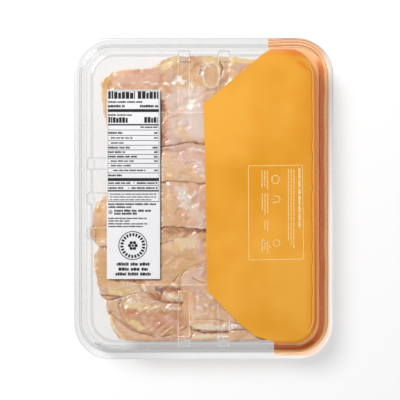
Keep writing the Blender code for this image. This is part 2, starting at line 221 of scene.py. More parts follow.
# Slices, from the one against the base to the ones nearest the film: outline, thickness at
# the lower and the upper end and where it starts and ends to change, height of the rim's
# rounding, strength of the painted shade where it meets other slices, tone of the flesh and
# direction of its grain
SLICES = {
    "slice_01": dict(
        outline=((-70, 41), (-54, 39.5), (-36, 41), (-11, 46), (0, 44), (37, 43), (67, 45),
                 (80, 60), (84, 84), (78, 103), (58, 111), (38, 114), (17, 116), (-3, 116),
                 (-23, 116), (-32, 114), (-44, 107), (-64, 106), (-77, 103), (-82, 97),
                 (-84, 92), (-83, 78), (-80, 62), (-77, 48)),
        thickness=(13.0, 26.0, 78, 98), nose=0.7, gap_shade=0.95,
        flesh=(207, 170, 143), grain=75),
    "slice_02": dict(
        outline=((-72, 14), (-56, 12), (-35, 13), (-23, 14), (-11, 13), (1, 12), (30, 10),
                 (62, 12), (78, 22), (81, 40), (72, 58), (46, 74), (1, 79), (-44, 74),
                 (-68, 56), (-74, 32)),
        thickness=(12.5, 12.5, 0, 1), nose=0.55, gap_shade=0.8,
        flesh=(213, 177, 156), grain=62),
    "slice_03": dict(
        outline=((-82, -40), (-64, -37), (-48, -29), (-34, -24), (-20, -24), (-8, -25),
                 (1, -26), (30, -28), (58, -26), (77, -18), (83, -2), (79, 15), (62, 27),
                 (30, 34), (-3, 37), (-44, 34), (-66, 20), (-80, 4), (-89, -6), (-91, -21),
                 (-93.3, -25.5), (-93.3, -31.5), (-89.5, -34.5), (-88, -37)),
        thickness=(12.5, 12.5, 0, 1), nose=0.8, gap_shade=1.0,
        flesh=(214, 174, 144), grain=80),
    "slice_04": dict(
        outline=((-19, -70), (-16, -81), (-18, -92), (-14, -100), (-3, -98.5), (9, -99),
                 (21, -101), (32, -104), (47, -108), (66, -103), (80, -90), (83, -71),
                 (77, -52), (54, -44), (26, -46), (1, -52), (-11, -57), (-17, -62)),
        thickness=(13.0, 13.0, 0, 1), nose=0.2, gap_shade=0.12,
        flesh=(222, 178, 146), grain=68),
    "slice_05": dict(
        outline=((-87, -42), (-90, -49), (-89, -58), (-87, -68), (-85, -78), (-79, -83),
                 (-67, -81), (-51, -77), (-36, -84), (-20, -86), (1, -84), (30, -84),
                 (62, -80), (80, -66), (84, -46), (77, -26), (56, -8), (30, 1), (1, 5),
                 (-36, 5), (-64, -10), (-81, -32)),
        thickness=(20.0, 13.0, -40, -26), nose=0.8, gap_shade=1.0,
        flesh=(210, 169, 125), grain=25),
    "slice_06": dict(
        outline=((-68, -84), (-68, -92), (-66, -98), (-60, -105), (-52, -109), (-40, -112),
                 (-28, -112), (-18, -108), (-12, -100), (-14, -90), (-24, -82), (-40, -76),
                 (-58, -78)),
        thickness=(10.0, 10.0, 0, 1), nose=0.25, gap_shade=0.4,
        flesh=(200, 150, 108), grain=-20),
    "slice_07": dict(
        outline=((-11, -100), (-10, -105.5), (1, -108), (17, -108.5), (30, -107.5),
                 (38, -105), (48, -101), (58, -95), (56, -89.5), (36, -88.5), (5, -88.5),
                 (-6, -93)),
        thickness=(9.0, 9.0, 0, 1), nose=0.4, gap_shade=0.7,
        flesh=(222, 184, 154), grain=5),
    "slice_08": dict(
        outline=((-79, -81), (-80, -87), (-78, -95), (-75, -105), (-71, -112), (-65, -115.4),
                 (-44, -116.6), (-23, -116.4), (-12, -114.6), (-9.8, -111), (-10.4, -104),
                 (-18, -101), (-26, -101), (-44, -101), (-57, -96), (-64, -88), (-71, -79)),
        thickness=(26.0, 26.0, 0, 1), nose=0.25, gap_shade=0.2,
        flesh=(216, 176, 146), grain=-35),
    "slice_09": dict(
        outline=((-7.5, -116.2), (8, -116.4), (16, -114.8), (26, -116.6), (66, -114), (80, -104),
                 (70, -96), (50, -100), (36, -103), (17, -104), (-4, -103), (-10.5, -104),
                 (-11.4, -109), (-11, -114.2)),
        thickness=(26.0, 26.0, 0, 1), nose=0.3, gap_shade=0.2,
        flesh=(212, 180, 154), grain=0),
}

# Tones of the marks on the slices. Most of the dark marks are painted shade: in the dents
# that a mark's depth presses in, along the rims where slices meet and beside the white
# label's edge. The white marks are painted glints and highlights of bubbles, and the cream
# lines along the slices' outer rims are pale edges, partly painted highlight. The rest are
# the flesh's own tones.
TONES = {
    "WHITE": (255, 250, 244), "DROP": (255, 248, 240),
    "CREAM": (241, 224, 196), "FAT": (236, 210, 152),
    "GREENISH": (226, 210, 140), "GOLD": (212, 166, 106), "TAN": (224, 186, 140),
    "PEACH": (232, 196, 162), "PINK": (218, 162, 144), "ROSE": (204, 140, 118),
    "FLUSH": (222, 166, 160), "MAUVE": (196, 158, 150), "LILAC": (226, 208, 204),
    "BROWN": (162, 106, 70), "RUST": (150, 78, 56), "DARK": (106, 52, 34),
    "BLOOD": (122, 44, 24), "PURPLE": (98, 60, 78), "SEAM": (130, 54, 36),
}

# Soft patches on every slice: tone, wavelength in millimetres, where it starts, where it is
# full, and how strong it is there
PATCHES = (
    ("PEACH", 26.0, 0.0, 1.6, 0.55), ("ROSE", 31.0, 0.5, 1.9, 0.32),
    ("TAN", 15.0, 0.4, 1.7, 0.40), ("CREAM", 9.0, 0.7, 2.0, 0.30),
    ("ROSE", 7.0, 0.8, 2.1, 0.22), ("BROWN", 5.0, 1.0, 2.3, 0.14),
    ("LILAC", 12.0, 0.8, 2.0, 0.40),
)

# How much of a white glint mark is painted as a highlight on the tone; the rest is white
# specks that the material paints as glints in wet places
GLINT_BASE = 0.45

# Shares of red, green and blue that the flesh keeps
FLESH_DEPTH = (1.16, 1.11, 1.04, 1.0)

# Painted highlights of bubbles that stand in a row along the white label, in millimetres
BUBBLES_AT = -33.9
BUBBLES = (33.0, 30.6, 27.7, 24.1, 20.0, 17.5, 15.1, 11.4, 7.3, 4.1, -0.4, -11.0, -15.5,
           -17.2, -18.4, -22.5, -26.6, -31.0)


def glints(*rows):
    """Painted glints: white marks from rows of the line's points, half width and strength, all
    in one.
    """
    return [("WHITE", tuple(zip(row[:-2:2], row[1:-2:2])), *row[-2:]) for row in rows]


# Marks on each slice: tone, points of its line, half width and strength, then depth and
# wetness, which else are 0 and 1 for the painted white glints and 0 and 0 for all others.
# Places and widths are in millimetres.
MARKS = {
    "slice_01": (
        ("GOLD", ((-79, 99), (-80, 76)), 4.5, 0.6),
        ("GOLD", ((-81.5, 97.5), (-80.5, 92)), 3.65, 0.75, 0, 0.1),
        ("CREAM", ((-80.5, 101.5), (-75, 104), (-62, 106), (-44, 106.5), (-31.5, 109.5),
            (-23.5, 114.5)), 1, 0.7, 0, 0.1),
        ("CREAM", ((-84.5, 93.5), (-84, 83.5), (-82.5, 74)), 0.9, 0.4),
        ("TAN", ((-82.5, 87), (-82.5, 70.5)), 2.45, 0.6),
        ("TAN", ((-75, 101.5), (-65, 103.5)), 2.85, 0.5),
        ("PINK", ((-70, 96.5), (-42.5, 99)), 5.3, 0.5, 0, 0.2),
        ("ROSE", ((-58.5, 103.5), (-45.5, 104)), 2.1, 0.35),
        ("CREAM", ((-76.5, 104), (-79, 101)), 1.3, 0.7, 0, 0.3),
        ("FAT", ((-32.5, 107.5), (-22, 114)), 3.1, 0.8, 0, 0.2),
        ("PINK", ((-37.5, 101.5), (-29, 93.5)), 4.1, 0.4),
        ("GOLD", ((-20, 108), (-15.5, 101)), 3.25, 0.8, 0, 0.1),
        ("GOLD", ((-9, 111.5), (-5.5, 93.5)), 3.65, 0.75, 0, 0.1),
        ("TAN", ((-26, 92), (-14.5, 87)), 4.1, 0.6),
        ("FAT", ((1, 113.5), (44.5, 113)), 3.45, 0.85, 0, 0.2),
        ("PEACH", ((17.5, 105), (34.5, 90)), 6.55, 0.5, 0, 0.1),
        ("PINK", ((20, 100), (29.5, 87)), 3.25, 0.4, 0, 0.1),
        ("TAN", ((6.5, 104), (6.5, 96)), 4.9, 0.8, 0, 0.2),
        ("CREAM", ((0, 105), (3.5, 110), (8.5, 111), (12.5, 106.5), (13.5, 98.5), (11, 92.5),
            (6, 90), (1, 93.5), (-0.5, 99), (0, 105)), 0.75, 0.9, -0.3, 0.3),
        ("DARK", ((-1.5, 108), (-3, 101.5)), 0.75, 0.9, 0.6, 0),
        ("DARK", ((12.5, 113), (15.5, 106.5), (14, 100)), 0.65, 0.85, 0.6, 0),
        ("LILAC", ((-16, 82), (-14.5, 57.5)), 10.6, 0.85, 0, 0.1),
        ("LILAC", ((-6.5, 84.5), (-3, 52)), 6.55, 0.8, 0, 0.1),
        ("LILAC", ((-27.5, 82), (-22.5, 49.5)), 4.1, 0.55, 0, 0.1),
        ("TAN", ((-19.5, 56.5), (-15.5, 52)), 3.65, 0.7),
        ("MAUVE", ((-27, 52), (-19.5, 45.5)), 3.25, 0.5),
        ("TAN", ((-16, 47), (-1.5, 47)), 1.15, 0.6, 0, 0.1),
        ("BROWN", ((-27.5, 66), (-19.5, 68.5)), 0.8, 0.4),
        ("RUST", ((-35, 78), (-34, 71.5)), 3.45, 0.95, 0.5, 0),
        ("BROWN", ((-34, 70.5), (-33.5, 49.5)), 3.1, 0.6, 0.4, 0),
        ("ROSE", ((-31, 70.5), (-30.5, 51)), 1.8, 0.6, 0.3, 0),
        ("RUST", ((-33.5, 48.5), (-35.5, 40.5)), 3.9, 0.8, 0.7, 0),
        ("BLOOD", ((-36.5, 41), (-31, 41), (-27, 42.5)), 1.2, 0.6, 0.5, 0),
        *glints((-24.5, 95, -21, 98.5, -17, 95, 2.1, 0.85), (-12, 74, -4, 76.5, 1.95, 0.9),
                (-14.5, 70, -9.5, 69.5, 1, 0.7), (-18, 65, -11, 64.5, 0.75, 0.5),
                (-70, 93.5, -67.5, 91, 1.3, 0.6), (-58, 94.5, -57, 94.5, 0.8, 0.7),
                (-49, 95, -44.5, 95.5, 0.8, 0.85), (-43, 93.5, -38, 94, 0.65, 0.6),
                (-31.5, 94.5, -28.5, 92.5, 1, 0.5), (-30.5, 83, -29, 84.5, 0.75, 0.85),
                (-11, 94.5, -9.5, 91, 0.75, 0.6), (-21, 87.5, -19.5, 87.5, 0.5, 0.7),
                (-27.5, 107.5, -26, 111.5, 0.55, 0.7), (0, 111.5, 5, 108, 0.8, 0.6)),
    ),
    "slice_02": (
        ("MAUVE", ((-29, 39.5), (-16, 40.5)), 2.3, 0.65),
        ("FLUSH", ((-16, 42), (-1.5, 33)), 3.25, 0.5, 0, 0.2),
        ("BROWN", ((-35, 39.5), (-35, 30)), 1.3, 0.6, 0.2, 0),
        ("RUST", ((-37.5, 39), (-29, 40)), 1.15, 0.6),
        ("TAN", ((-31, 31.5), (-27.5, 18.5)), 4.9, 0.5, 0, 0.1),
        ("FLUSH", ((-18, 33), (-3, 28)), 4.9, 0.55, 0, 0.4),
        ("LILAC", ((-3, 23), (0, 18.5)), 2.85, 0.6, 0, 0.1),
        ("CREAM", ((-29.5, 19.5), (-27, 19)), 1.4, 0.8, 0, 0.2),
        ("TAN", ((-19.5, 21.5), (-4.5, 17.5)), 4.1, 0.5),
        ("GOLD", ((-33.5, 14.5), (-19.5, 14), (0, 12)), 1.4, 0.65),
        *glints((-13, 40.5, -8, 41, 1.3, 0.7), (-5.5, 40, -2.5, 39.5, 1.2, 0.9),
                (-0.5, 38.5, 0.5, 38.5, 0.8, 0.9), (-7, 21, 0, 27, 0.55, 0.85),
                (-23.5, 34.5, 0.55, 0.7), (-27, 33, 0.5, 0.6), (-18.5, 31.5, 0.65, 0.8),
                (-26.5, 29, 0.75, 0.8), (-30, 28, 0.5, 0.6), (-17, 28, 0.55, 0.7),
                (-15.5, 25.5, 0.55, 0.6), (-21, 24, 0.5, 0.6), (-11, 34.5, 0.55, 0.7),
                (-12, 30.5, 0.75, 0.7), (-9, 31.5, 0.55, 0.7),
                (-4.5, 30, -2.5, 28.5, 0.55, 0.75), (-7, 26.5, 0.55, 0.6),
                (-20, 33.5, 0.5, 0.6)),
    ),
    "slice_03": (
        ("FLUSH", ((-29, 9.5), (-3, 9)), 1.45, 0.5),
        ("LILAC", ((-18.5, 6), (-13, -6)), 5.3, 0.55, 0, 0.5),
        ("FLUSH", ((-4.5, 8.5), (-4.5, -8)), 1.8, 0.75, 0, 0.3),
        ("ROSE", ((-1.5, 2), (-2, -6)), 1.15, 0.5),
        ("LILAC", ((-8, -9.5), (-0.5, -21)), 4.9, 0.6),
        ("TAN", ((-31, 0.5), (-26, -17.5)), 4.1, 0.5),
        ("TAN", ((-31, -20), (-18, -23)), 1.8, 0.7),
        ("BROWN", ((-35.5, -22.5), (-32.5, -25)), 1.45, 0.6, 0.2, 0),
        ("CREAM", ((-14.5, -23), (0, -24)), 0.75, 0.6, 0, 0.2),
        *glints((-20, 4.5, -18, 3, 0.9, 0.7), (-16, 5, -11, 0.5, 1.2, 0.7),
                (-9.5, 1.5, -7, 5.5, 1.05, 0.8), (-21, 0, -19.5, 0.5, 0.9, 0.8),
                (-18, -1, -16, 1, 0.8, 0.65), (-19.5, -6.5, -17, -4.5, 1, 0.95),
                (-9, -7, -8, -7, 0.65, 0.8), (-22.5, -2.5, 0.55, 0.6)),
        ("CREAM", ((-79, 3), (-84, -1), (-87, -6), (-89.5, -10),
            (-90, -21.5)), 0.9, 0.5, 0, 0.1),
        ("GOLD", ((-86, -8), (-86, -32)), 4.6, 0.7),
        ("TAN", ((-81.5, -5.5), (-81.5, -34)), 2.85, 0.5, 0, 0.1),
        ("GOLD", ((-83, -12.5), (-84, -24)), 1.15, 0.5),
        ("BROWN", ((-89, -40), (-85.5, -41.5), (-81.5, -39.5)), 0.65, 0.8, 0.4, 0),
        ("BROWN", ((-89.5, -34.5), (-89, -42)), 0.65, 0.5),
        *glints((-82.5, -7, -81.5, -7, 0.5, 0.7), (-84, -35, -81.5, -34.5, 0.5, 0.7)),
    ),
    "slice_04": (
        ("LILAC", ((-16, -66.5), (-3, -63.5)), 5.7, 0.45, 0, 0.1),
        ("MAUVE", ((-9.5, -70), (-1.5, -79.5)), 4.1, 0.4, 0, 0.2),
        ("GOLD", ((-16, -78), (-14.5, -97.5)), 2.8, 0.6),
        ("TAN", ((6.5, -83), (10, -97.5)), 4.1, 0.5, 0, 0.1),
        ("ROSE", ((-9, -74.5), (-7, -92.5)), 1.3, 0.4, 0, 0.2),
        ("CREAM", ((-21, -63), (-11, -59.5), (-5.5, -57), (1, -57.5)), 0.65, 0.6, 0, 0.2),
        ("RUST", ((-5.5, -55.5), (-2.5, -54.5)), 1.2, 0.8),
        ("DARK", ((-9, -65), (-4, -68), (1, -69)), 0.55, 0.7, 0.3, 0),
        ("FAT", ((-7, -64), (1, -68)), 0.75, 0.7, 0, 0.3),
        ("CREAM", ((-5, -74.5), (-5.5, -85.5)), 0.5, 0.6, 0, 0.4),
        *glints((3.5, -79, 7.5, -81.5, 1.3, 0.8), (1, -86, 2.5, -88, 1.05, 0.75),
                (-5.5, -88.5, -1.5, -90, 1.15, 0.65), (-5, -80.5, -4.5, -83, 0.5, 0.7)),
        ("CREAM", ((-6.5, -95.5), (6.5, -93.5)), 0.9, 0.6, 0, 0.3),
        ("RUST", ((-18.5, -102), (-7, -101.5), (3.5, -100)), 0.65, 0.85, 0.4, 0),
        ("BROWN", ((3.5, -100), (20, -100), (31, -103.5)), 0.55, 0.5, 0.2, 0),
    ),
    "slice_05": (
        ("BLOOD", ((-15.5, -26.5), (-6.5, -26.5), (2.5, -27)), 1.55, 0.95, 0.4, 0),
        ("BROWN", ((-34, -25.5), (-13, -29)), 2.8, 0.7, 0.2, 0),
        ("BROWN", ((-35.5, -30.5), (-29, -34)), 1.8, 0.5, 0.2, 0),
        ("TAN", ((-31, -32.5), (-21, -29.5)), 1.8, 0.6, 0, 0.1),
        ("DARK", ((-35.5, -37), (-34, -37)), 0.9, 0.7, 0.3, 0),
        ("BROWN", ((-35, -37), (-26, -34.5), (-16, -31.5), (-9.5, -28.5)), 0.55, 0.75, 0.3, 0),
        ("CREAM", ((-19.5, -36.5), (-6.5, -36.5)), 4.5, 0.65),
        ("FAT", ((-32.5, -40.5), (-19.5, -39.5)), 3.25, 0.55),
        ("FLUSH", ((-4, -35.5), (-0.5, -52)), 2.95, 0.6, 0, 0.1),
        ("GOLD", ((-31, -52), (-9.5, -55)), 5.3, 0.5),
        ("CREAM", ((-31, -52.5), (-25.5, -48.5)), 1.15, 0.65, 0, 0.3),
        ("BROWN", ((-19.5, -52), (-11, -53.5)), 0.65, 0.4, 0.2, 0),
        ("PINK", ((-45.5, -70.5), (-37.5, -72.5)), 4.1, 0.6, 0, 0.3),
        ("WHITE", ((-47, -67.5), (-46, -69)), 0.75, 0.9),
        ("CREAM", ((-44, -66.5), (-37.5, -71.5)), 0.4, 0.7, 0, 0.4),
        ("CREAM", ((-87, -46), (-89, -52), (-89.5, -60), (-89, -66.5), (-87.5, -71.5),
            (-85.5, -76), (-81.5, -79)), 0.8, 0.7, 0, 0.1),
        ("GOLD", ((-86, -52), (-85.5, -66.5)), 2.1, 0.5),
        ("GOLD", ((-80, -55), (-80, -68)), 1.95, 0.4, 0, 0.1),
        ("MAUVE", ((-84, -73), (-80, -76)), 2.1, 0.7, 0, 0.2),
        ("GREENISH", ((-76.5, -74.5), (-68.5, -77)), 2.7, 0.85, 0, 0.2),
        ("DARK", ((-83, -79), (-76.5, -79.5), (-67, -80.5)), 0.75, 0.8, 0.3, 0),
        ("RUST", ((-71, -67), (-62, -68), (-52, -67.5)), 1.55, 0.8, 0.4, 0),
        ("WHITE", ((-61, -70), (-57, -70)), 0.75, 0.9),
        ("GOLD", ((-65, -70.5), (-50, -76)), 5.0, 0.9, 0, 0.5),
        ("BROWN", ((-52, -70), (-49.5, -76.5)), 1.3, 0.5, 0.4, 0),
        ("CREAM", ((-49, -71.5), (-47, -75.5)), 1.2, 0.8, -0.5, 0.4),
        ("PURPLE", ((-37.5, -74), (-34, -76.5)), 1.95, 0.95, 0.8, 0),
        ("BLOOD", ((-38, -78.5), (-35.5, -81.5)), 1.4, 0.75, 0.4, 0),
        ("RUST", ((-32.5, -74.5), (-21, -75)), 2.3, 0.75, 0.7, 0),
        ("CREAM", ((-31, -79.5), (-22.5, -81)), 2.05, 0.8, -0.5, 0.5),
        ("RUST", ((-46.5, -76.5), (-38, -81.5), (-33.5, -84), (-27.5, -85),
            (-18, -85.5)), 0.75, 0.9, 0.5, 0),
        ("DARK", ((-24.5, -68), (-21, -63.5)), 0.55, 0.9, 0.4, 0),
        ("CREAM", ((-25, -70), (-22, -72.5)), 1.4, 0.85, -0.3, 0.5),
    ),
    "slice_06": (
        ("CREAM", ((-66, -81.5), (-68, -85.5), (-67.5, -92), (-61, -102.5),
            (-51, -108)), 0.75, 0.3, 0, 0.2),
        ("GOLD", ((-63.5, -81.5), (-52, -84)), 4.1, 0.9, 0, 0.6),
        ("FAT", ((-62, -87.5), (-47, -88)), 3.6, 0.75, 0, 0.4),
        ("GOLD", ((-48, -84), (-38, -86)), 2.95, 0.75, 0, 0.5),
        ("ROSE", ((-61, -94.5), (-55.5, -92.5)), 2.2, 0.9, 0.6, 0),
        ("FAT", ((-58, -101), (-51, -105.5)), 2.45, 0.85, 0, 0.2),
        ("MAUVE", ((-58, -97.5), (-53.5, -97)), 1.15, 0.7),
        ("ROSE", ((-47, -99), (-32.5, -101.5)), 5.7, 0.7, 0, 0.1),
        ("PINK", ((-44, -83), (-22.5, -88)), 2.95, 0.5, 0, 0.2),
        ("BROWN", ((-52, -97.5), (-49.5, -104)), 0.75, 0.4, 0.3, 0),
        ("CREAM", ((-46.5, -92), (-38, -88)), 0.75, 0.9, 0, 0.9),
        ("CREAM", ((-35, -111.5), (-26, -105)), 0.65, 0.7, 0, 0.4),
        ("RUST", ((-35, -92.5), (-31, -95)), 1.15, 0.4),
        ("FLUSH", ((-29, -97.5), (-22, -104)), 3.25, 0.5, 0, 0.3),
        *glints((-28.5, -90, -20, -90, 1.2, 0.8), (-62, -81, -59.5, -84.5, 1.45, 0.7),
                (-55.5, -79, -53, -81.5, 0.75, 0.6), (-31.5, -96.5, -30, -96, 0.4, 0.6)),
    ),
    "slice_07": (
        ("CREAM", ((-6.5, -105), (15, -105.5)), 2.3, 0.65, 0, 0.6),
        ("FAT", ((-14.5, -103.5), (-3, -104)), 1.3, 0.5, 0, 0.2),
        ("LILAC", ((18, -105.5), (29, -103.5)), 2.45, 0.9, 0, 0.5),
        ("WHITE", ((1, -103.5), (6.5, -103)), 0.8, 0.8),
        ("WHITE", ((20, -106), (26.5, -103.5)), 0.8, 0.5, 0, 0.8),
        ("BROWN", ((-18.5, -107.5), (-10.5, -108)), 0.5, 0.7, 0.2, 0),
    ),
    "slice_08": (
        ("MAUVE", ((-80, -82), (-67.5, -82.5)), 1.4, 0.8),
        ("BROWN", ((-76.5, -93.5), (-70, -99), (-59.5, -107.5), (-46.5, -111.5),
            (-38, -114)), 0.9, 0.7, 0.5, 0),
        ("CREAM", ((-78, -97), (-71.5, -108), (-65, -114.5)), 1.2, 0.8),
        ("CREAM", ((-80.5, -83), (-80, -89.5), (-77.5, -96), (-74, -103.5), (-71, -110),
            (-66, -115.5)), 0.75, 0.7, 0, 0.1),
        ("PEACH", ((-63.5, -111.5), (-44, -114.5)), 1.8, 0.7, 0, 0.1),
        ("GOLD", ((-70, -112.5), (-44, -114.5)), 0.8, 0.4),
        ("MAUVE", ((-40, -114.5), (-21, -114.5)), 0.65, 0.9),
        ("PINK", ((-34, -110.5), (-21, -110)), 1.3, 0.5, 0, 0.1),
    ),
    "slice_09": (
        ("BLOOD", ((-10.5, -106.5), (-0.5, -109.5), (20.5, -109), (32, -105)), 1, 0.85),
        ("CREAM", ((-8, -112.5), (18, -112.5)), 1.7, 0.75, 0, 0.3),
        ("TAN", ((23, -110), (44.5, -112.5)), 3.25, 0.7),
    ),
}


def linear(tone):
    """Scene-linear colour of a tone of 0 to 255."""
    share = np.asarray(tone, dtype=float) / 255
    return np.where(share <= 0.04045, share / 12.92, ((share + 0.055) / 1.055) ** 2.4)


def rgba(tone):
    """Socket value of a tone of 0 to 255."""
    return (*linear(tone), 1.0)


def grey(share):
    """Socket value of a neutral colour."""
    return (share, share, share, 1.0)


def smooth(low, high, value):
    """Ease from 0 to 1 as value goes from low to high."""
    t = np.clip((value - low) / (high - low), 0.0, 1.0)
    return t * t * (3 - 2 * t)


def ripple(x, y, wavelength, seed, waves=9):
    """Soft random field between about -1 and 1, from a sum of waves in all directions."""
    draw = np.random.default_rng(seed)
    total = np.zeros(np.shape(x))
    for _ in range(waves):
        angle = draw.uniform(0, 2 * math.pi)
        length = wavelength * draw.uniform(0.6, 1.7)
        phase = draw.uniform(0, 2 * math.pi)
        along = x * math.cos(angle) + y * math.sin(angle)
        total += np.sin(2 * math.pi * along / length + phase)
    return total / math.sqrt(waves)


# Pieces and meshes


def placed(name, data):
    """Object with some data, put in the scene."""
    item = bpy.data.objects.new(name, data)
    bpy.context.scene.collection.objects.link(item)
    return item


def add_piece(name, mesh, finishes, slot, *nodes):
    """Put a mesh in the scene as a piece of the part, in place of the nodes named."""
    item = placed(name, mesh)
    for place, made in enumerate(finishes):
        if place < len(mesh.materials):
            mesh.materials[place] = made
        else:
            mesh.materials.append(made)
    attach(item, "root")
    if nodes:
        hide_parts(*nodes)
    return item


def to_mesh(name, shape):
    """Turn a bmesh into a mesh."""
    mesh = bpy.data.meshes.new(name)
    shape.to_mesh(mesh)
    shape.free()
    return mesh


def box(shape, low, high):
    """Add a box between two corners to a bmesh."""
    for vert in bmesh.ops.create_cube(shape, size=1.0)["verts"]:
        for axis in range(3):
            middle = (low[axis] + high[axis]) / 2
            vert.co[axis] = middle + vert.co[axis] * (high[axis] - low[axis])


def wall_between(shape, below, above):
    """Add the faces between two rings of vertices."""
    count = len(below)
    return [shape.faces.new((below[here], below[(here + 1) % count],
                             above[(here + 1) % count], above[here]))
            for here in range(count)]


def round_path(low, high, corner, height, steps):
    """Closed path round a rectangle with round corners."""
    path = []
    for quarter, (side_x, side_y) in enumerate(((1, 1), (-1, 1), (-1, -1), (1, -1))):
        x = (high if side_x > 0 else low)[0] - side_x * corner
        y = (high if side_y > 0 else low)[1] - side_y * corner
        for step in range(steps + 1):
            angle = (quarter + step / steps) * math.pi / 2
            path.append((x + corner * math.cos(angle), y + corner * math.sin(angle), height))
    return path


def loose(name, shape):
    """Object of a bmesh that only serves to make another, with empty material slots."""
    mesh = to_mesh(name, shape)
    for _ in CLEAR_FINISHES:
        mesh.materials.append(None)
    return placed(name, mesh)


def combine(item, *tools):
    """Join and cut an object with tool objects, in order, and remove the tools."""
    for tool, operation in tools:
        modifier = item.modifiers.new(tool.name, "BOOLEAN")
        modifier.operation = operation
        modifier.solver = "EXACT"
        modifier.material_mode = "INDEX"
        modifier.object = tool
    bpy.context.view_layer.update()
    graph = bpy.context.evaluated_depsgraph_get()
    mesh = bpy.data.meshes.new_from_object(item.evaluated_get(graph))
    item.modifiers.clear()
    item.data = mesh
    for tool, _ in tools:
        bpy.data.objects.remove(tool, do_unlink=True)
    return item


def store_tint(mesh, tone, shown):
    """Store a tone for each point of a mesh, and how much of it shows."""
    colours = np.concatenate((tone, shown[:, None]), axis=1)
    tint = mesh.attributes.new("tint", "FLOAT_COLOR", "POINT")
    tint.data.foreach_set("color", colours.ravel())


# Materials


def new_material(name):
    """Empty material with its node tree and output."""
    made = bpy.data.materials.new(name)
    made.use_nodes = True
    tree = made.node_tree
    tree.nodes.clear()
    output = tree.nodes.new("ShaderNodeOutputMaterial")
    return made, tree, output


def feed(tree, socket, value):
    """Give a socket a value, or link another socket to it."""
    if isinstance(value, bpy.types.NodeSocket):
        tree.links.new(value, socket)
    else:
        socket.default_value = value


def node(tree, kind, **inputs):
    """Add a node and set or link its inputs by name."""
    made = tree.nodes.new(kind)
    for name, value in inputs.items():
        feed(tree, made.inputs[name.replace("_", " ")], value)
    return made


def math_node(tree, operation, *values):
    """Result of a math node on numbers and sockets."""
    made = tree.nodes.new("ShaderNodeMath")
    made.operation = operation
    for socket, value in zip(made.inputs, values):
        feed(tree, socket, value)
    return made.outputs[0]


def mix_colour(tree, share, first, second, blend="MIX"):
    """Mix of two colours, each a value or a socket."""
    made = tree.nodes.new("ShaderNodeMix")
    made.data_type = "RGBA"
    made.blend_type = blend
    for name, value in (("Factor", share), ("A", first), ("B", second)):
        feed(tree, [s for s in made.inputs if s.name == name and s.enabled][0], value)
    return [s for s in made.outputs if s.enabled][0]


def place_parts(tree, kind):
    """X, Y and Z of a place in the scene."""
    place = tree.nodes.new("ShaderNodeTexCoord")
    return node(tree, "ShaderNodeSeparateXYZ", Vector=place.outputs[kind]).outputs


def painted(tree, name):
    """Values painted on the mesh."""
    made = tree.nodes.new("ShaderNodeAttribute")
    made.attribute_name = name
    return made.outputs


def noise(tree, scale, detail, shift=0.0, stretch=(1.0, 1.0, 1.0), turn=0.0):
    """Noise on the piece's own place in metres, drawn out along one direction if asked."""
    place = tree.nodes.new("ShaderNodeTexCoord")
    mapping = node(tree, "ShaderNodeMapping", Vector=place.outputs["Object"],
                   Location=(shift, shift * 0.7, shift * 0.3), Rotation=(0.0, 0.0, turn),
                   Scale=stretch)
    return node(tree, "ShaderNodeTexNoise", Vector=mapping.outputs["Vector"], Scale=scale,
                Detail=detail).outputs["Fac"]


def levels(tree, value, low, high, start=0.0, end=1.0):
    """Map a socket from one range to another, held at both ends."""
    return node(tree, "ShaderNodeMapRange", Value=value, From_Min=low, From_Max=high,
                To_Min=start, To_Max=end).outputs["Result"]


def bump(tree, height, distance, strength, **normal):
    """Bump of a height socket, on top of another normal if one is given."""
    return node(tree, "ShaderNodeBump", Height=height, Distance=distance,
                Strength=strength, **normal).outputs["Normal"]


def principled(tree, output, **inputs):
    """Add a Principled shader on the output."""
    made = node(tree, "ShaderNodeBsdfPrincipled", **inputs)
    tree.links.new(made.outputs[0], output.inputs["Surface"])


def clear_material(name, tint, mirror, grazing, roughness, painted_light_tint=None):
    """Clear plastic: what is behind it shows, and more light mirrors at flat angles. Its
    tint may turn into another one towards the right side and the lower end, where a tint
    over 1 paints light."""
    made, tree, output = new_material(name)
    colour = grey(tint)
    if painted_light_tint:
        parts = place_parts(tree, "Object")
        lower = math_node(tree, "SUBTRACT", parts["X"], parts["Y"])
        colour = mix_colour(tree, levels(tree, lower, *LOW_SIDE), colour, grey(painted_light_tint))
    through = node(tree, "ShaderNodeBsdfTransparent", Color=colour)
    gloss = node(tree, "ShaderNodeBsdfGlossy", Color=grey(1.0), Roughness=roughness,
                 Normal=bump(tree, noise(tree, 55.0, 2.0), 0.4 * MM, 0.25))
    facing = node(tree, "ShaderNodeLayerWeight", Blend=0.5).outputs["Facing"]
    steep = math_node(tree, "POWER", facing, 5.0)
    surface = node(tree, "ShaderNodeMixShader",
                   Fac=math_node(tree, "MULTIPLY_ADD", steep, grazing, mirror))
    tree.links.new(through.outputs[0], surface.inputs[1])
    tree.links.new(gloss.outputs[0], surface.inputs[2])
    tree.links.new(surface.outputs[0], output.inputs["Surface"])
    return made


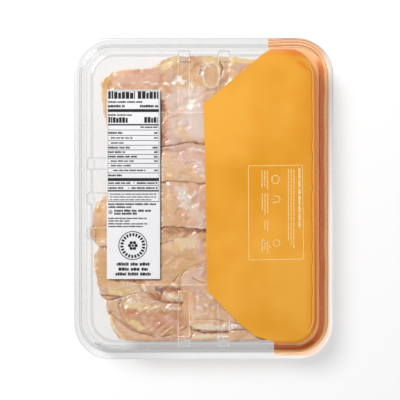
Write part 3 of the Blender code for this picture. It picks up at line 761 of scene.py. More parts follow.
def meat_material(name, grain, seed):
    """Raw flesh: its painted tone with mottling, muscle fibre, thin fat and a wet coat, with
    white specks and drops in wet places painted as glints.
    """
    made, tree, output = new_material(name)
    turn = math.radians(-grain)
    wet = painted(tree, "wet")["Fac"]
    fibre = noise(tree, 380.0, 3.0, seed, (0.3, 1.0, 0.7), turn)
    mottle = noise(tree, 95.0, 4.0, seed + 3.0)
    patch = noise(tree, 34.0, 2.0, seed + 7.0)
    vein = noise(tree, 130.0, 2.0, seed + 11.0, (0.35, 1.0, 1.0), turn)
    ridge = math_node(tree, "ABSOLUTE", math_node(tree, "SUBTRACT", vein, 0.5))
    colour = painted(tree, "tint")["Color"]
    for share, tone in ((levels(tree, mottle, 0.40, 0.72, 0.0, 0.30), (236, 212, 190)),
                        (levels(tree, patch, 0.50, 0.68, 0.0, 0.22), (200, 142, 116)),
                        (levels(tree, ridge, 0.0, 0.022, 0.20, 0.0), (240, 222, 190))):
        colour = mix_colour(tree, share, colour, rgba(tone))
    for factor in (levels(tree, fibre, 0.30, 0.70, 0.96, 1.03), FLESH_DEPTH):
        colour = mix_colour(tree, 1.0, colour, factor, "MULTIPLY")
    specks = levels(tree, noise(tree, 980.0, 2.0, seed + 23.0), 0.49, 0.54)
    soaked = levels(tree, wet, 0.15, 0.75)
    drops = levels(tree, noise(tree, 1350.0, 1.0, seed + 31.0), 0.645, 0.69)
    damp = levels(tree, noise(tree, 70.0, 2.0, seed + 37.0), 0.47, 0.60, 0.0, 0.8)
    # White specks and drops in wet places, painted as glints
    for wetness, where in ((specks, soaked), (drops, damp)):
        share = math_node(tree, "MULTIPLY", wetness, where)
        colour = mix_colour(tree, share, colour, rgba((255, 247, 238)))
    lumps = bump(tree, mottle, 0.9 * MM, 0.5, Normal=bump(tree, fibre, 0.25 * MM, 0.4))
    coat = bump(tree, noise(tree, 520.0, 2.0, seed + 17.0), 1.1 * MM,
                levels(tree, wet, 0.0, 1.0, 0.10, 1.0), Normal=lumps)
    principled(tree, output, Base_Color=colour, Roughness=0.42, IOR=1.4, Normal=lumps,
               Subsurface_Weight=0.15, Subsurface_Radius=(1.0, 0.42, 0.26),
               Subsurface_Scale=1.6 * MM, Coat_Weight=levels(tree, wet, 0.0, 0.8, 0.22, 1.0),
               Coat_Roughness=0.07, Coat_IOR=1.75, Coat_Normal=coat)
    return made


def label_grain(tree):
    """Fine relief of label stock."""
    return bump(tree, noise(tree, 900.0, 3.0), 0.05 * MM, 0.3)


def paper_material(name, tone, roughness, fleck):
    """Smooth label stock with a faint fleck."""
    made, tree, output = new_material(name)
    cloud = levels(tree, noise(tree, 22.0, 2.0), 0.35, 0.65)
    colour = mix_colour(tree, cloud, rgba(np.subtract(tone, fleck)),
                        rgba(np.minimum(np.add(tone, fleck), 255)))
    principled(tree, output, Base_Color=colour, Roughness=roughness,
               Normal=label_grain(tree))
    return made


def orange_material(name):
    """Orange label stock: lighter clouds, a faint warm shift and the tone painted on it, which
    holds the painted shade and highlights of its folds.
    """
    made, tree, output = new_material(name)
    cloud = levels(tree, noise(tree, 16.0, 2.0), 0.42, 0.66)
    warm = levels(tree, noise(tree, 30.0, 2.0, 4.0), 0.55, 0.75, 0.0, 0.5)
    colour = mix_colour(tree, cloud, rgba((225, 152, 38)), rgba((238, 170, 62)))
    colour = mix_colour(tree, warm, colour, rgba((232, 150, 42)))
    tint = painted(tree, "tint")
    colour = mix_colour(tree, tint["Alpha"], colour, tint["Color"])
    principled(tree, output, Base_Color=colour, Roughness=0.42, Specular_IOR_Level=0.2,
               Normal=label_grain(tree))
    return made


def ink_material(name, tone, roughness):
    """Printed ink, a little uneven."""
    made, tree, output = new_material(name)
    spots = levels(tree, noise(tree, 1500.0, 2.0), 0.45, 0.75)
    lighter = rgba(np.minimum(np.add(tone, 12), 255))
    principled(tree, output, Base_Color=mix_colour(tree, spots, rgba(tone), lighter),
               Roughness=roughness)
    return made


def film_print_and_light_material(name, roughness):
    """Print on the film, whose tone with its painted light and shade is painted on the mesh,
    with a faint fleck, and which glows as painted light.
    """
    made, tree, output = new_material(name)
    fleck = noise(tree, 60.0, 3.0, stretch=(1.0, 0.3, 1.0))
    colour = mix_colour(tree, 1.0, painted(tree, "tint")["Color"],
                        levels(tree, fleck, 0.3, 0.7, 0.93, 1.05), "MULTIPLY")
    principled(tree, output, Base_Color=colour, Roughness=roughness,
               Normal=bump(tree, fleck, 0.1 * MM, 0.3), Emission_Color=colour,
               Emission_Strength=BAND_GLOW)
    return made


# Clear tray and film


def half_size(axis, height):
    """Half width or half length of the drafted walls at a height."""
    outer = (HALF_X, HALF_Y)[axis] - FOOT[axis]
    draft = (SIDE_DRAFT, END_DRAFT)[axis] + FLANGE - FOOT[axis]
    return outer - draft * (height - FLANGE_LOW) / (BASE - FLANGE_LOW)


def wall_rings(grow, low):
    """Rings up the drafted wall, round the fillet and onto the base: insets from the
    flange's edge at the sides and the ends, corner, height and material."""
    half = (HALF_X, HALF_Y)
    round_from = BASE - FILLET
    corner = FLANGE_CORNER - FLANGE + grow
    rings = []
    for height in (low, WALL_SPLIT, round_from):
        inset = [half[axis] - half_size(axis, height) - grow for axis in (0, 1)]
        rings.append((inset, corner, height, PLAIN))
    reach = FILLET + grow
    further = [half[axis] - half_size(axis, BASE) - grow + reach - inset[axis]
               for axis in (0, 1)]
    for step in range(1, FILLET_STEPS + 1):
        angle = step / FILLET_STEPS * math.pi / 2
        turned = 1 - math.cos(angle)
        height = round_from + (BASE + grow - round_from) * math.sin(angle)
        slot = EDGE if step == FILLET_EDGE else BEND if step > FILLET_BEND else PLAIN
        rings.append(([inset[axis] + further[axis] * turned for axis in (0, 1)],
                      corner - reach * turned, height, slot))
    return rings


def finish_of(slot, below, above):
    """Material of a face: its ring's own, or the painted shade of the lower end wall."""
    if slot == PLAIN and below.y < LOWER_WALL and above.z > WALL_FOOT:
        return SHADED_FOOT if above.z < WALL_SPLIT + MM else SHADE
    return slot


def lofted(rings):
    """Closed solid through rings from the lowest to the highest."""
    shape = bmesh.new()
    rows = []
    for inset, corner, height, slot in rings:
        half = (HALF_X - inset[0], HALF_Y - inset[1])
        path = round_path((-half[0], -half[1]), half, corner, height, CORNER_STEPS)
        rows.append([shape.verts.new(point) for point in path])
        if len(rows) > 1:
            for face in wall_between(shape, *rows[-2:]):
                face.material_index = finish_of(slot, face.verts[0].co, face.verts[3].co)
    shape.faces.new(rows[0][::-1])
    shape.faces.new(rows[-1])
    return shape


def outer_form():
    """Solid outside of the tray: flange with its bead and ridge, wall, fillet and base."""
    top = FLANGE_LOW + WALL
    rings = [((0.0, 0.0), FLANGE_CORNER, FLANGE_LOW, PLAIN)]
    for side, end, rise, slot in FLANGE_PROFILE:
        rings.append(((side * MM, end * MM), FLANGE_CORNER - side * MM, top + rise * MM,
                      slot))
    return lofted(rings + wall_rings(0.0, top + WALL_START))


def rib_places():
    """Axis, side, offset, channel length and lug depth of each rib."""
    for side in (-1, 1):
        for offset in END_RIBS:
            yield 1, side, offset, END_CHANNEL, END_LUG
    for offset in SIDE_RIBS:
        yield 0, -1, offset, SIDE_CHANNEL, SIDE_LUG


def rib_span(place, inner, outer, half_width):
    """Low and high corner of a rectangle along a rib, from inner to outer on its side."""
    axis, side, offset = place[:3]
    reach = sorted((side * inner, side * outer))
    across = (offset - half_width, offset + half_width)
    spans = (reach, across) if axis == 0 else (across, reach)
    return (spans[0][0], spans[1][0]), (spans[0][1], spans[1][1])


def lug_span(place, grow):
    """Rectangle of a lug, seen from above."""
    outer = half_size(place[0], BASE) - LUG_INSET
    return rib_span(place, outer - place[4] - grow, outer + grow, RIB / 2 + grow)


def channel_span(place, grow):
    """Rectangle of a channel, seen from above."""
    start = half_size(place[0], BASE) - LUG_INSET - place[4]
    return rib_span(place, start - place[3] - grow, start - LUG_PROUD + grow,
                    RIB / 2 + grow)


def blocks(span, grow, low, high, slot):
    """A box on the rectangle of each rib."""
    shape = bmesh.new()
    for place in rib_places():
        corner, opposite = span(place, grow)
        box(shape, (*corner, low), (*opposite, high))
    for face in shape.faces:
        face.material_index = slot
    return shape


def ribbed(name, shape, thick, slot, *more):
    """Form of the tray with its lugs joined and its channels cut, then with more tools. A
    thickness sets them further in."""
    lugs = blocks(lug_span, -thick, BASE * LUG_LOW, BASE + LUG_PROUD - thick, slot)
    channels = blocks(channel_span, thick, BASE - CHANNEL - thick, BASE * ABOVE, PLAIN)
    return combine(loose(name, shape), (loose("lugs", lugs), "UNION"),
                   (loose("channels", channels), "DIFFERENCE"), *more)


def bead(shape, low, high, corner, height):
    """Add a low rounded lip round a rectangle."""
    half_width, rise = BEAD
    points = [Vector(point) for point in round_path(low, high, corner, height, BEAD_STEPS)]
    rows = []
    for index, point in enumerate(points):
        forward = (points[(index + 1) % len(points)] - points[index - 1]).normalized()
        across = Vector((-forward.y, forward.x, 0.0))
        row = []
        for step in range(BEAD_SIDES):
            angle = step / BEAD_SIDES * 2 * math.pi
            row.append(shape.verts.new(point + across * (half_width * math.cos(angle))
                                       + Vector((0.0, 0.0, rise * math.sin(angle)))))
        rows.append(row)
    for here, after in zip(rows, rows[1:] + rows[:1]):
        wall_between(shape, here, after)


def build_lips():
    """Rounded lips round the lugs, the channels and the panel between them."""
    shape = bmesh.new()
    for place in rib_places():
        bead(shape, *lug_span(place, 0.0), LUG_CORNER, BASE + LUG_PROUD)
        bead(shape, *channel_span(place, 0.0), CHANNEL_CORNER, BASE)
    bead(shape, [-half for half in PANEL_HALF], PANEL_HALF, PANEL_CORNER, BASE)
    bmesh.ops.recalc_face_normals(shape, faces=shape.faces)
    mesh = to_mesh("tray_lips", shape)
    mesh.shade_smooth()
    add_piece("tray_lips", mesh, [clear_material(*CLEAR_LIP)], "clear_plastic")


def build_tray():
    """Thin clear shell, with the materials of its edges and bends on their own faces."""
    cavity = ribbed("cavity", lofted(wall_rings(-WALL, FLANGE_LOW - WALL)), WALL, PLAIN)
    tray = ribbed("tray_work", outer_form(), 0.0, BLOCK, (cavity, "DIFFERENCE"))
    mesh = tray.data
    bpy.data.objects.remove(tray, do_unlink=True)
    mesh.shade_smooth()
    mesh.set_sharp_from_angle(angle=math.radians(30))
    finishes = [clear_material(*row) for row in CLEAR_FINISHES]
    add_piece("clear_tray", mesh, finishes, "clear_plastic", "tray")
    build_lips()


def build_film():
    """Clear lidding film, which keeps its solid."""
    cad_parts["film"].material_slots[0].material = clear_material(*CLEAR_LID)


# Printed band


def edge_inset(x, y):
    """Distance in from the flange's edge, and how far its side faces the upper end, from
    -1 to 1. In millimetres."""
    corner = FLANGE_CORNER / MM
    near_x = HALF_X / MM - corner
    near_y = HALF_Y / MM - corner
    out_x = np.abs(x) - near_x
    out_y = np.abs(y) - near_y
    gap = np.hypot(np.maximum(out_x, 0), np.maximum(out_y, 0))
    inner = np.minimum(np.maximum(out_x, out_y), 0)
    facing = np.where(gap > 0, np.maximum(out_y, 0) / np.maximum(gap, 1e-9), 0.0)
    facing = np.where(gap > 0, facing, (out_y > out_x) * 1.0)
    return corner - gap - inner, facing * np.sign(y)


def stripe_tones(table, inset):
    """Scene-linear tone at each distance from the edge."""
    places = [row[0] for row in table]
    tones = np.array([linear(row[1]) for row in table])
    return np.stack([np.interp(inset, places, tones[:, part]) for part in range(3)], axis=-1)


def spread(start, end, ys, columns, power):
    """Rows of places from the left to the right side of a sheet, closer at the right."""
    share = 1 - (1 - np.linspace(0.0, 1.0, columns)) ** power
    x = start[:, None] + (end - start)[:, None] * share
    return x, np.repeat(ys[:, None], columns, axis=1)


def build_band(low, high):
    """Printed band of the film, with painted light and shade: stripes that follow the flange,
    in shade at the side and paler as painted light at the upper end.
    """
    reach_x = high[0] / MM
    reach_y = high[1] / MM + BAND_PAST
    ys = np.linspace(low[1] / MM, reach_y, BAND_ROWS)
    start = np.interp(ys, (low[1] / MM, reach_y), BAND_LEFT)
    corner = FLANGE_CORNER / MM - (HALF_X / MM - reach_x)
    into = np.clip(np.abs(ys) - (reach_y - corner), 0.0, corner)
    end = reach_x - corner + np.sqrt(np.maximum(corner ** 2 - into ** 2, 0.0))
    x, y = spread(start, end, ys, BAND_COLUMNS, 1.6)
    inset, facing = edge_inset(x, y)
    wavy = inset + 0.35 * ripple(x, y, 46.0, 71)
    # Painted light towards the upper end, painted shade at the side
    upper = smooth(0.25, 0.75, facing)[..., None]
    tone = (stripe_tones(UPPER_LIT_STRIPES, wavy) * upper
            + stripe_tones(SIDE_SHADED_STRIPES, wavy) * (1 - upper))
    layers = [np.stack((x * MM, y * MM, np.full_like(x, height)), axis=2)
              for height in (high[2], low[2])]
    finishes = (film_print_and_light_material("band_print_and_light", 0.35),
                paper_material("band_edge", (196, 110, 60), 0.5, 4))
    mesh = sheet_mesh("orange_band", layers, tone, np.ones(x.shape))
    add_piece("orange_band", mesh, finishes, "orange_print", "printed_band")


def sheet_mesh(name, layers, tone, shown):
    """Closed sheet from two layers of points in rows and columns, with its sides in the
    second material and its tone painted on both layers."""
    rows, columns = tone.shape[:2]
    count = rows * columns
    index = np.arange(count).reshape(rows, columns)
    flat = np.stack((index[:-1, :-1], index[:-1, 1:], index[1:, 1:], index[1:, :-1]),
                    axis=2).reshape(-1, 4)
    border = np.concatenate((index[0], index[1:, -1], index[-1, -2::-1], index[-2:0:-1, 0]))
    after = np.roll(border, -1)
    sides = np.stack((after, border, border + count, after + count), axis=1)
    faces = np.concatenate((flat, flat[:, ::-1] + count, sides))
    mesh = bpy.data.meshes.new(name)
    mesh.from_pydata(np.reshape(layers, (-1, 3)).tolist(), [], faces.tolist())
    mesh.shade_smooth()
    mesh.set_sharp_from_angle(angle=math.radians(50))
    slots = np.repeat((0, 1), (len(faces) - len(sides), len(sides))).astype(np.int32)
    mesh.polygons.foreach_set("material_index", slots)
    store_tint(mesh, np.tile(tone.reshape(-1, 3), (2, 1)), np.tile(shown.ravel(), 2))
    return mesh


# Slices


def curve_points(points, count):
    """Even steps along a smooth closed curve through the outline points."""
    turn = np.arange(count) / count * len(points)
    index = turn.astype(int)
    t = (turn - index)[:, None]
    ring = np.array(points, dtype=float)
    a, b, c, d = (ring[(index + step) % len(points)] for step in (-1, 0, 1, 2))
    curve = 0.5 * (2 * b + (c - a) * t + (2 * a - 5 * b + 4 * c - d) * t ** 2
                   + (3 * b - a - 3 * c + d) * t ** 3)
    spoke = curve - ring.mean(axis=0)
    waver = RIM_WAVE * ripple(curve[:, 0], curve[:, 1], 8.0, 91)
    return curve + spoke * (waver / np.hypot(*spoke.T))[:, None]


def line_gap(x, y, points):
    """Distance from each place to a line through points."""
    nearest = np.full(np.shape(x), 1e9)
    for (x0, y0), (x1, y1) in zip(points, points[1:] if len(points) > 1 else points):
        length = max((x1 - x0) ** 2 + (y1 - y0) ** 2, 1e-6)
        share = np.clip(((x - x0) * (x1 - x0) + (y - y0) * (y1 - y0)) / length, 0.0, 1.0)
        gap = (x - x0 - share * (x1 - x0)) ** 2 + (y - y0 - share * (y1 - y0)) ** 2
        nearest = np.minimum(nearest, gap)
    return np.sqrt(nearest)


def inside_distance(rim, x, y):
    """Distance from the rim of a slice, positive inside it."""
    closed = [*rim, rim[0]]
    inside = np.zeros(x.shape, dtype=bool)
    for (x0, y0), (x1, y1) in zip(closed, closed[1:]):
        if y0 != y1:
            crosses = (y0 > y) != (y1 > y)
            inside ^= crosses & (x < x0 + (y - y0) * (x1 - x0) / (y1 - y0))
    return line_gap(x, y, closed) * np.where(inside, 1.0, -1.0)


def value_at(values, x, y):
    """Value of a field on the grid at any places, by blending the four nearest cells."""
    u = np.clip((x - GRID_XS[0]) / CELL, 0, len(GRID_XS) - 1.001)
    v = np.clip((y - GRID_YS[0]) / CELL, 0, len(GRID_YS) - 1.001)
    i = u.astype(int)
    j = v.astype(int)
    low = values[i, j] * (1 - v + j) + values[i, j + 1] * (v - j)
    high = values[i + 1, j] * (1 - v + j) + values[i + 1, j + 1] * (v - j)
    return low * (1 - u + i) + high * (u - i)


def relaxed(height, slope):
    """Lower a height field until nothing in it is steeper than the slope."""
    steps = ((1, 0), (-1, 0), (0, 1), (0, -1), (1, 1), (1, -1), (-1, 1), (-1, -1))
    for _ in range(14):
        for i, j in steps:
            rise = slope * CELL * math.hypot(i, j)
            height = np.minimum(height, np.roll(height, (i, j), axis=(0, 1)) + rise)
    return height


def softened(values):
    """Blend each cell with its neighbours, twice."""
    for axis in (0, 1, 0, 1):
        values = (np.roll(values, 1, axis) + 2 * values + np.roll(values, -1, axis)) / 4
    return values


def mark_share(x, y, points, width, seed):
    """How much a mark covers each place: full along its line, fading at its half width."""
    ragged = 1 + 0.30 * ripple(x, y, max(width * 1.6, 2.2), seed)
    return 1 - smooth(0.45, 1.3, line_gap(x, y, points) * ragged / width)


def marks_of(number):
    """Marks of one slice, with the painted highlights of the bubbles that lie in a row along the
    white label: seed, tone, points, half width, strength, depth and wetness."""
    bubbles = tuple(("DROP", ((BUBBLES_AT, y),), 0.75, 0.9, 0, 0.4) for y in BUBBLES)
    marks = MARKS[f"slice_{number:02d}"] + bubbles
    for place, (shade, points, width, strength, *more) in enumerate(marks):
        depth, wetness = more or (0, shade == "WHITE")
        yield 100 * number + place, shade, points, width, strength, depth, wetness


def gap_shade_field(number, gaps):
    """Painted shade of the gaps where slices meet, as how much a slice takes of it: along its
    own rim where another slice lies against it, and along the rims of the slices over it."""
    strengths = [spec["gap_shade"] for spec in SLICES.values()]
    others = np.max([gap for place, gap in enumerate(gaps) if place != number - 1], axis=0)
    near = 1 - smooth(0.2, GAP_SHADE_WIDTH, np.abs(gaps[number - 1]))
    share = strengths[number - 1] * near * smooth(-2.4, -0.2, others)
    for strength, gap in zip(strengths[:number - 1], gaps):
        share = np.maximum(share, strength * (1 - smooth(0.2, GAP_SHADE_WIDTH, np.abs(gap))))
    return share


def slice_fields(number, spec, roof, rim_gap, merged):
    """Top, underside and rim of one slice on the grid."""
    x, y = GRID
    top = softened(np.minimum(relaxed(roof, CLIMB) - CLEAR, CEILING))
    dips = ripple(x, y, 17.0, number) + 0.6 * ripple(x, y, 7.0, number + 40)
    top = top - DIP * smooth(0.25, 1.8, dips)
    for seed, _, points, width, _, depth, _ in marks_of(number):
        if depth:
            top = top - depth * mark_share(x, y, points, width, seed)
    full, upper, start, end = spec["thickness"]
    full = full + (upper - full) * smooth(start, end, y)
    thick = np.maximum(np.minimum(full, top - FLOOR), THINNEST)
    belly = smooth(0.0, UNDER_WIDTH, rim_gap)
    nose = np.minimum(spec["nose"], thick / 2) * (1 - MERGED_FLAT * merged)
    under = top - nose - (thick - nose) * belly
    under = under + LIFT * smooth(0.2, 1.6, ripple(x, y, 13.0, number + 80)) * belly
    return dict(top=top, under=under, nose=nose, gap=rim_gap)


def slice_mesh(name, number, spec, fields):
    """Closed slab: rings from the middle out to the rim, over the top and back below."""
    rough = curve_points(spec["outline"], 200)
    length = np.hypot(*(rough - np.roll(rough, 1, axis=0)).T).sum()
    columns = int(length / STEP)
    rim = curve_points(spec["outline"], columns)
    centre = np.mean(np.array(spec["outline"], dtype=float), axis=0)
    over = 1 - (1 - np.arange(1, TOP_RINGS + 1) / TOP_RINGS) ** 1.25
    below = (np.arange(UNDER_RINGS - 1, 0, -1) / UNDER_RINGS) ** 0.8
    reach = np.concatenate((over, below))
    spots = centre + (rim - centre)[None, :, :] * reach[:, None, None]
    x = spots[:, :, 0]
    y = spots[:, :, 1]
    gap = np.clip(value_at(fields["gap"], x, y), 0.0, None)
    gap[TOP_RINGS - 1] = 0.0
    curl = 1 - np.sqrt(1 - (1 - np.clip(gap / NOSE_WIDTH, 0.0, 1.0)) ** 2)
    top = value_at(fields["top"], x, y) - value_at(fields["nose"], x, y) * curl
    under = np.minimum(value_at(fields["under"], x, y), top)
    z = np.where(np.arange(len(reach))[:, None] < TOP_RINGS, top, under)
    tips = [(*centre, value_at(fields[side], *centre[:, None])[0]) for side in ("top", "under")]
    verts = np.concatenate((np.stack((x, y, z), axis=2).reshape(-1, 3), tips))
    index = np.arange(x.size).reshape(x.shape)
    after = np.roll(index, -1, axis=1)
    walls = np.stack((index[:-1], index[1:], after[1:], after[:-1]), axis=2).reshape(-1, 4)
    tip = np.full(columns, x.size)
    caps = np.concatenate((np.stack((tip, index[0], after[0]), axis=1),
                           np.stack((after[-1], index[-1], tip + 1), axis=1)))
    mesh = bpy.data.meshes.new(name)
    mesh.from_pydata((verts * MM).tolist(), [], walls.tolist() + caps.tolist())
    paint(mesh, number, spec, verts, value_at(fields["gap_shade"], verts[:, 0], verts[:, 1]))
    mesh.shade_smooth()
    return mesh


def paint(mesh, number, spec, verts, gap_shade):
    """Store each point's tone and wetness for the material."""
    x, y = verts[:, 0], verts[:, 1]
    tone = np.tile(linear(spec["flesh"]), (len(verts), 1))
    for name, wavelength, start, full, most in PATCHES:
        field = ripple(x, y, wavelength, number + len(name) + int(wavelength))
        share = most * smooth(start, full, field)
        tone += (linear(TONES[name]) - tone) * share[:, None]
    # Painted shade in the gaps where slices meet, uneven along its length
    uneven = np.clip(0.75 + 0.5 * ripple(x, y, 14.0, 55), 0.1, 1.0)
    tone += (linear(TONES["SEAM"]) - tone) * (gap_shade * uneven)[:, None]
    wet = 0.35 * smooth(0.3, 1.3, ripple(x, y, 11.0, number + 60))
    for seed, shade, points, width, strength, _, wetness in marks_of(number):
        share = mark_share(x, y, points, width, seed)
        strength *= GLINT_BASE if shade == "WHITE" else 1.0
        tone += (linear(TONES[shade]) - tone) * (share * strength)[:, None]
        wet = np.maximum(wet, share * wetness)
    store_tint(mesh, tone, np.ones(len(verts)))
    gleaming = mesh.attributes.new("wet", "FLOAT", "POINT")
    gleaming.data.foreach_set("value", wet)


def build_slices():
    """All slices, from the one against the base to the ones nearest the film."""
    x, y = GRID
    roof = np.full(x.shape, CEILING + CLEAR)
    for place in rib_places():
        (x0, y0), (x1, y1) = [np.array(corner) / MM for corner in channel_span(place, WALL)]
        out = np.maximum(np.abs(x - (x0 + x1) / 2) - (x1 - x0) / 2,
                         np.abs(y - (y0 + y1) / 2) - (y1 - y0) / 2)
        roof -= UNDER_CHANNEL * (1 - smooth(0.6, 2.6, out))
    gaps = [inside_distance(curve_points(spec["outline"], 220), x, y)
            for spec in SLICES.values()]
    merged = np.max([mark_share(x, y, points, width, 19) for points, width in MERGED], axis=0)
    for number, (name, spec) in enumerate(SLICES.items(), start=1):
        fields = slice_fields(number, spec, roof, gaps[number - 1], merged)
        fields["gap_shade"] = gap_shade_field(number, gaps) * (1 - merged)
        finish = meat_material(f"flesh_{number:02d}", spec["grain"], number * 0.37)
        add_piece(f"chicken_{number:02d}", slice_mesh(name, number, spec, fields), [finish],
                  "chicken", name)
        roof = np.minimum(roof, np.where(fields["gap"] > 0, fields["under"], 1e9))


# Labels


# Orange label laid flat, in millimetres: its left side from top to bottom, its right edge,
# upper and lower edge, round corners, and how much its right edge leans
ORANGE_LEFT = (
    (54.3, 140.0), (54.3, 123.0), (-0.4, 77.2), (0.8, 40.0), (1.7, 0.0), (2.4, -69.8),
    (3.5, -75.5), (7.5, -80.4), (19.8, -92.7), (31.2, -104.1), (41.8, -112.3),
    (50.0, -114.8), (58.0, -117.4), (58.6, -130.0),
)
ORANGE_RIGHT = 90.8
ORANGE_ENDS = (-118.7, 128.4)
ORANGE_PLAN_TOP = 123.2
ORANGE_CORNER = 21.0
ORANGE_LEAN = -0.0125
ORANGE_ROWS = 300
ORANGE_COLUMNS = 140
LABEL_LIFT = 0.55
LABEL_SHEET = 0.22
STEEPEST = math.radians(74)

# A place across the orange label at which its ends are measured, the white label's round
# corners, and the thickness of ink
ORANGE_MIDDLE = 60.0
WHITE_CORNER = 0.6 * MM
INK = 0.02 * MM


def folded(u, v, lift):
    """Point of a sheet that lies on the base and folds over its rounded edge, from its
    place when laid flat, with its distance past the fold and how far the fold faces the
    upper end and the side. All in millimetres."""
    flat_x = (half_size(0, BASE) - FILLET) / MM
    flat_y = (half_size(1, BASE) - FILLET) / MM
    corner = (FLANGE_CORNER - FLANGE - FILLET) / MM
    near_x = np.clip(u, -flat_x + corner, flat_x - corner)
    near_y = np.clip(v, -flat_y + corner, flat_y - corner)
    gap = np.hypot(u - near_x, v - near_y)
    out = (u - near_x) / np.maximum(gap, 1e-9)
    up = (v - near_y) / np.maximum(gap, 1e-9)
    beyond = np.maximum(gap - corner, 0.0)
    radius = FILLET / MM + lift
    angle = np.minimum(beyond / radius, STEEPEST)
    straight = np.maximum(beyond - radius * STEEPEST, 0.0)
    reach = radius * np.sin(angle) + straight * math.cos(STEEPEST)
    drop = radius * (1 - np.cos(angle)) + straight * math.sin(STEEPEST)
    kept = np.minimum(gap, corner)
    x = near_x + out * (kept + reach)
    y = near_y + up * (kept + reach)
    return x, y, BASE / MM + lift - drop, (gap - corner, up, out)


def bell(value, width):
    """Bell curve that is 1 at 0."""
    return np.exp(-(value / width) ** 2)


def fold_sway(u, v):
    """How far the creases along the label's right edge wander."""
    return 0.5 * ripple(u * 0.4, v, 21.0, 6)


def label_relief(u, v, fold):
    """Wrinkles of the orange label: wavy creases just inside its right edge, a buckle at
    the upper corner, and soft waves."""
    past, up, out = fold
    side = smooth(0.6, 0.95, out)
    sway = fold_sway(u, v)
    crease = 0.16 * bell(past + 1.7 - sway, 0.42)
    ridge = 0.12 * bell(past + 0.7 - sway, 0.45)
    low = smooth(40.0, -60.0, v)
    fine = 0.07 * ripple(u * 0.5, v, 3.4, 31) * bell(past + 1.2, 1.3)
    corner = smooth(0.25, 0.5, up) * smooth(0.25, 0.5, out) * smooth(-9.0, -3.0, past)
    buckle = 0.14 * np.sin(past * 2.6 + 1.4 * ripple(u, v, 16.0, 12)) * corner
    return ((ridge - crease) * side * (0.5 + 0.5 * low) + fine * side + buckle
            + 0.05 * ripple(u, v, 42.0, 9))


def label_tone(u, v, fold):
    """Tone painted over the label's stock, and how much of it shows: painted shade, warmer and
    darker, where the label folds away over the base's edge and in its creases, a painted
    highlight on the ridge beside a crease, and golden in its upper corner."""
    past, up, out = fold
    tone = np.tile(linear(LABEL_TONES["fold"]), (*u.shape, 1))
    shown = smooth(-0.5, 2.0, past) * 0.5
    side = smooth(0.75, 0.97, out)
    sway = fold_sway(u, v)
    end = smooth(0.7, 0.98, up) * smooth(1.5, 5.0, past)
    bend = bell(past + 3.2, 2.4) * smooth(0.3, 0.7, up) * smooth(0.15, 0.5, out)
    golden = smooth(0.2, 0.5, up) * smooth(0.35, 0.7, out) * smooth(-1.5, 0.2, past)
    for name, share in (("warm", smooth(-9.0, -2.5, past) * side * 0.45),
                        ("crescent", end * smooth(54.0, 76.0, u)),
                        ("crescent", bend * 0.7),
                        ("hot", bell(np.hypot(u - 73.5, v - 121.0), 5.5)),
                        ("golden", golden),
                        ("dark", bell(past + 1.7 - sway, 0.5) * side * 0.7),
                        ("bright", bell(past + 0.7 - sway, 0.45) * side * 0.8),
                        ("last", smooth(-0.1, 0.5, past) * side)):
        share = np.clip(share, 0.0, 1.0)
        joint = shown + share - shown * share
        weight = np.where(shown + share > 1e-6, share / np.maximum(joint, 1e-6), 0.0)
        tone += (linear(LABEL_TONES[name]) - tone) * np.clip(weight, 0.0, 1.0)[..., None]
        shown = joint
    return tone, shown


def build_orange_label():
    """Orange label as a fine sheet over the base, folded down over its upper edge."""
    left = np.array(ORANGE_LEFT[::-1])
    low, high = ORANGE_ENDS
    ys = np.linspace(low, high, ORANGE_ROWS)
    start = np.interp(ys, left[:, 1], left[:, 0])
    plan = folded(np.full_like(ys, ORANGE_MIDDLE), ys, LABEL_LIFT)[1]
    into = np.clip(np.maximum(plan - (ORANGE_PLAN_TOP - ORANGE_CORNER),
                              low + ORANGE_CORNER - plan), 0.0, ORANGE_CORNER)
    end = (ORANGE_RIGHT - ORANGE_CORNER + ORANGE_LEAN * ys
           + np.sqrt(ORANGE_CORNER ** 2 - into ** 2))
    u, v = spread(start, end, ys, ORANGE_COLUMNS, 1.7)
    fold = folded(u, v, LABEL_LIFT)[3]
    relief = label_relief(u, v, fold)
    layers = []
    for sunk in (0.0, LABEL_SHEET):
        x, y, z, _ = folded(u, v, LABEL_LIFT - sunk + np.minimum(relief, 0.0))
        layers.append(np.stack((x, y, z + np.maximum(relief, 0.0)), axis=2) * MM)
    finishes = (orange_material("orange_stock"),
                paper_material("label_core", (232, 190, 130), 0.6, 4))
    mesh = sheet_mesh("orange_sheet", layers, *label_tone(u, v, fold))
    add_piece("orange_sheet", mesh, finishes, "orange_label", "orange_label")


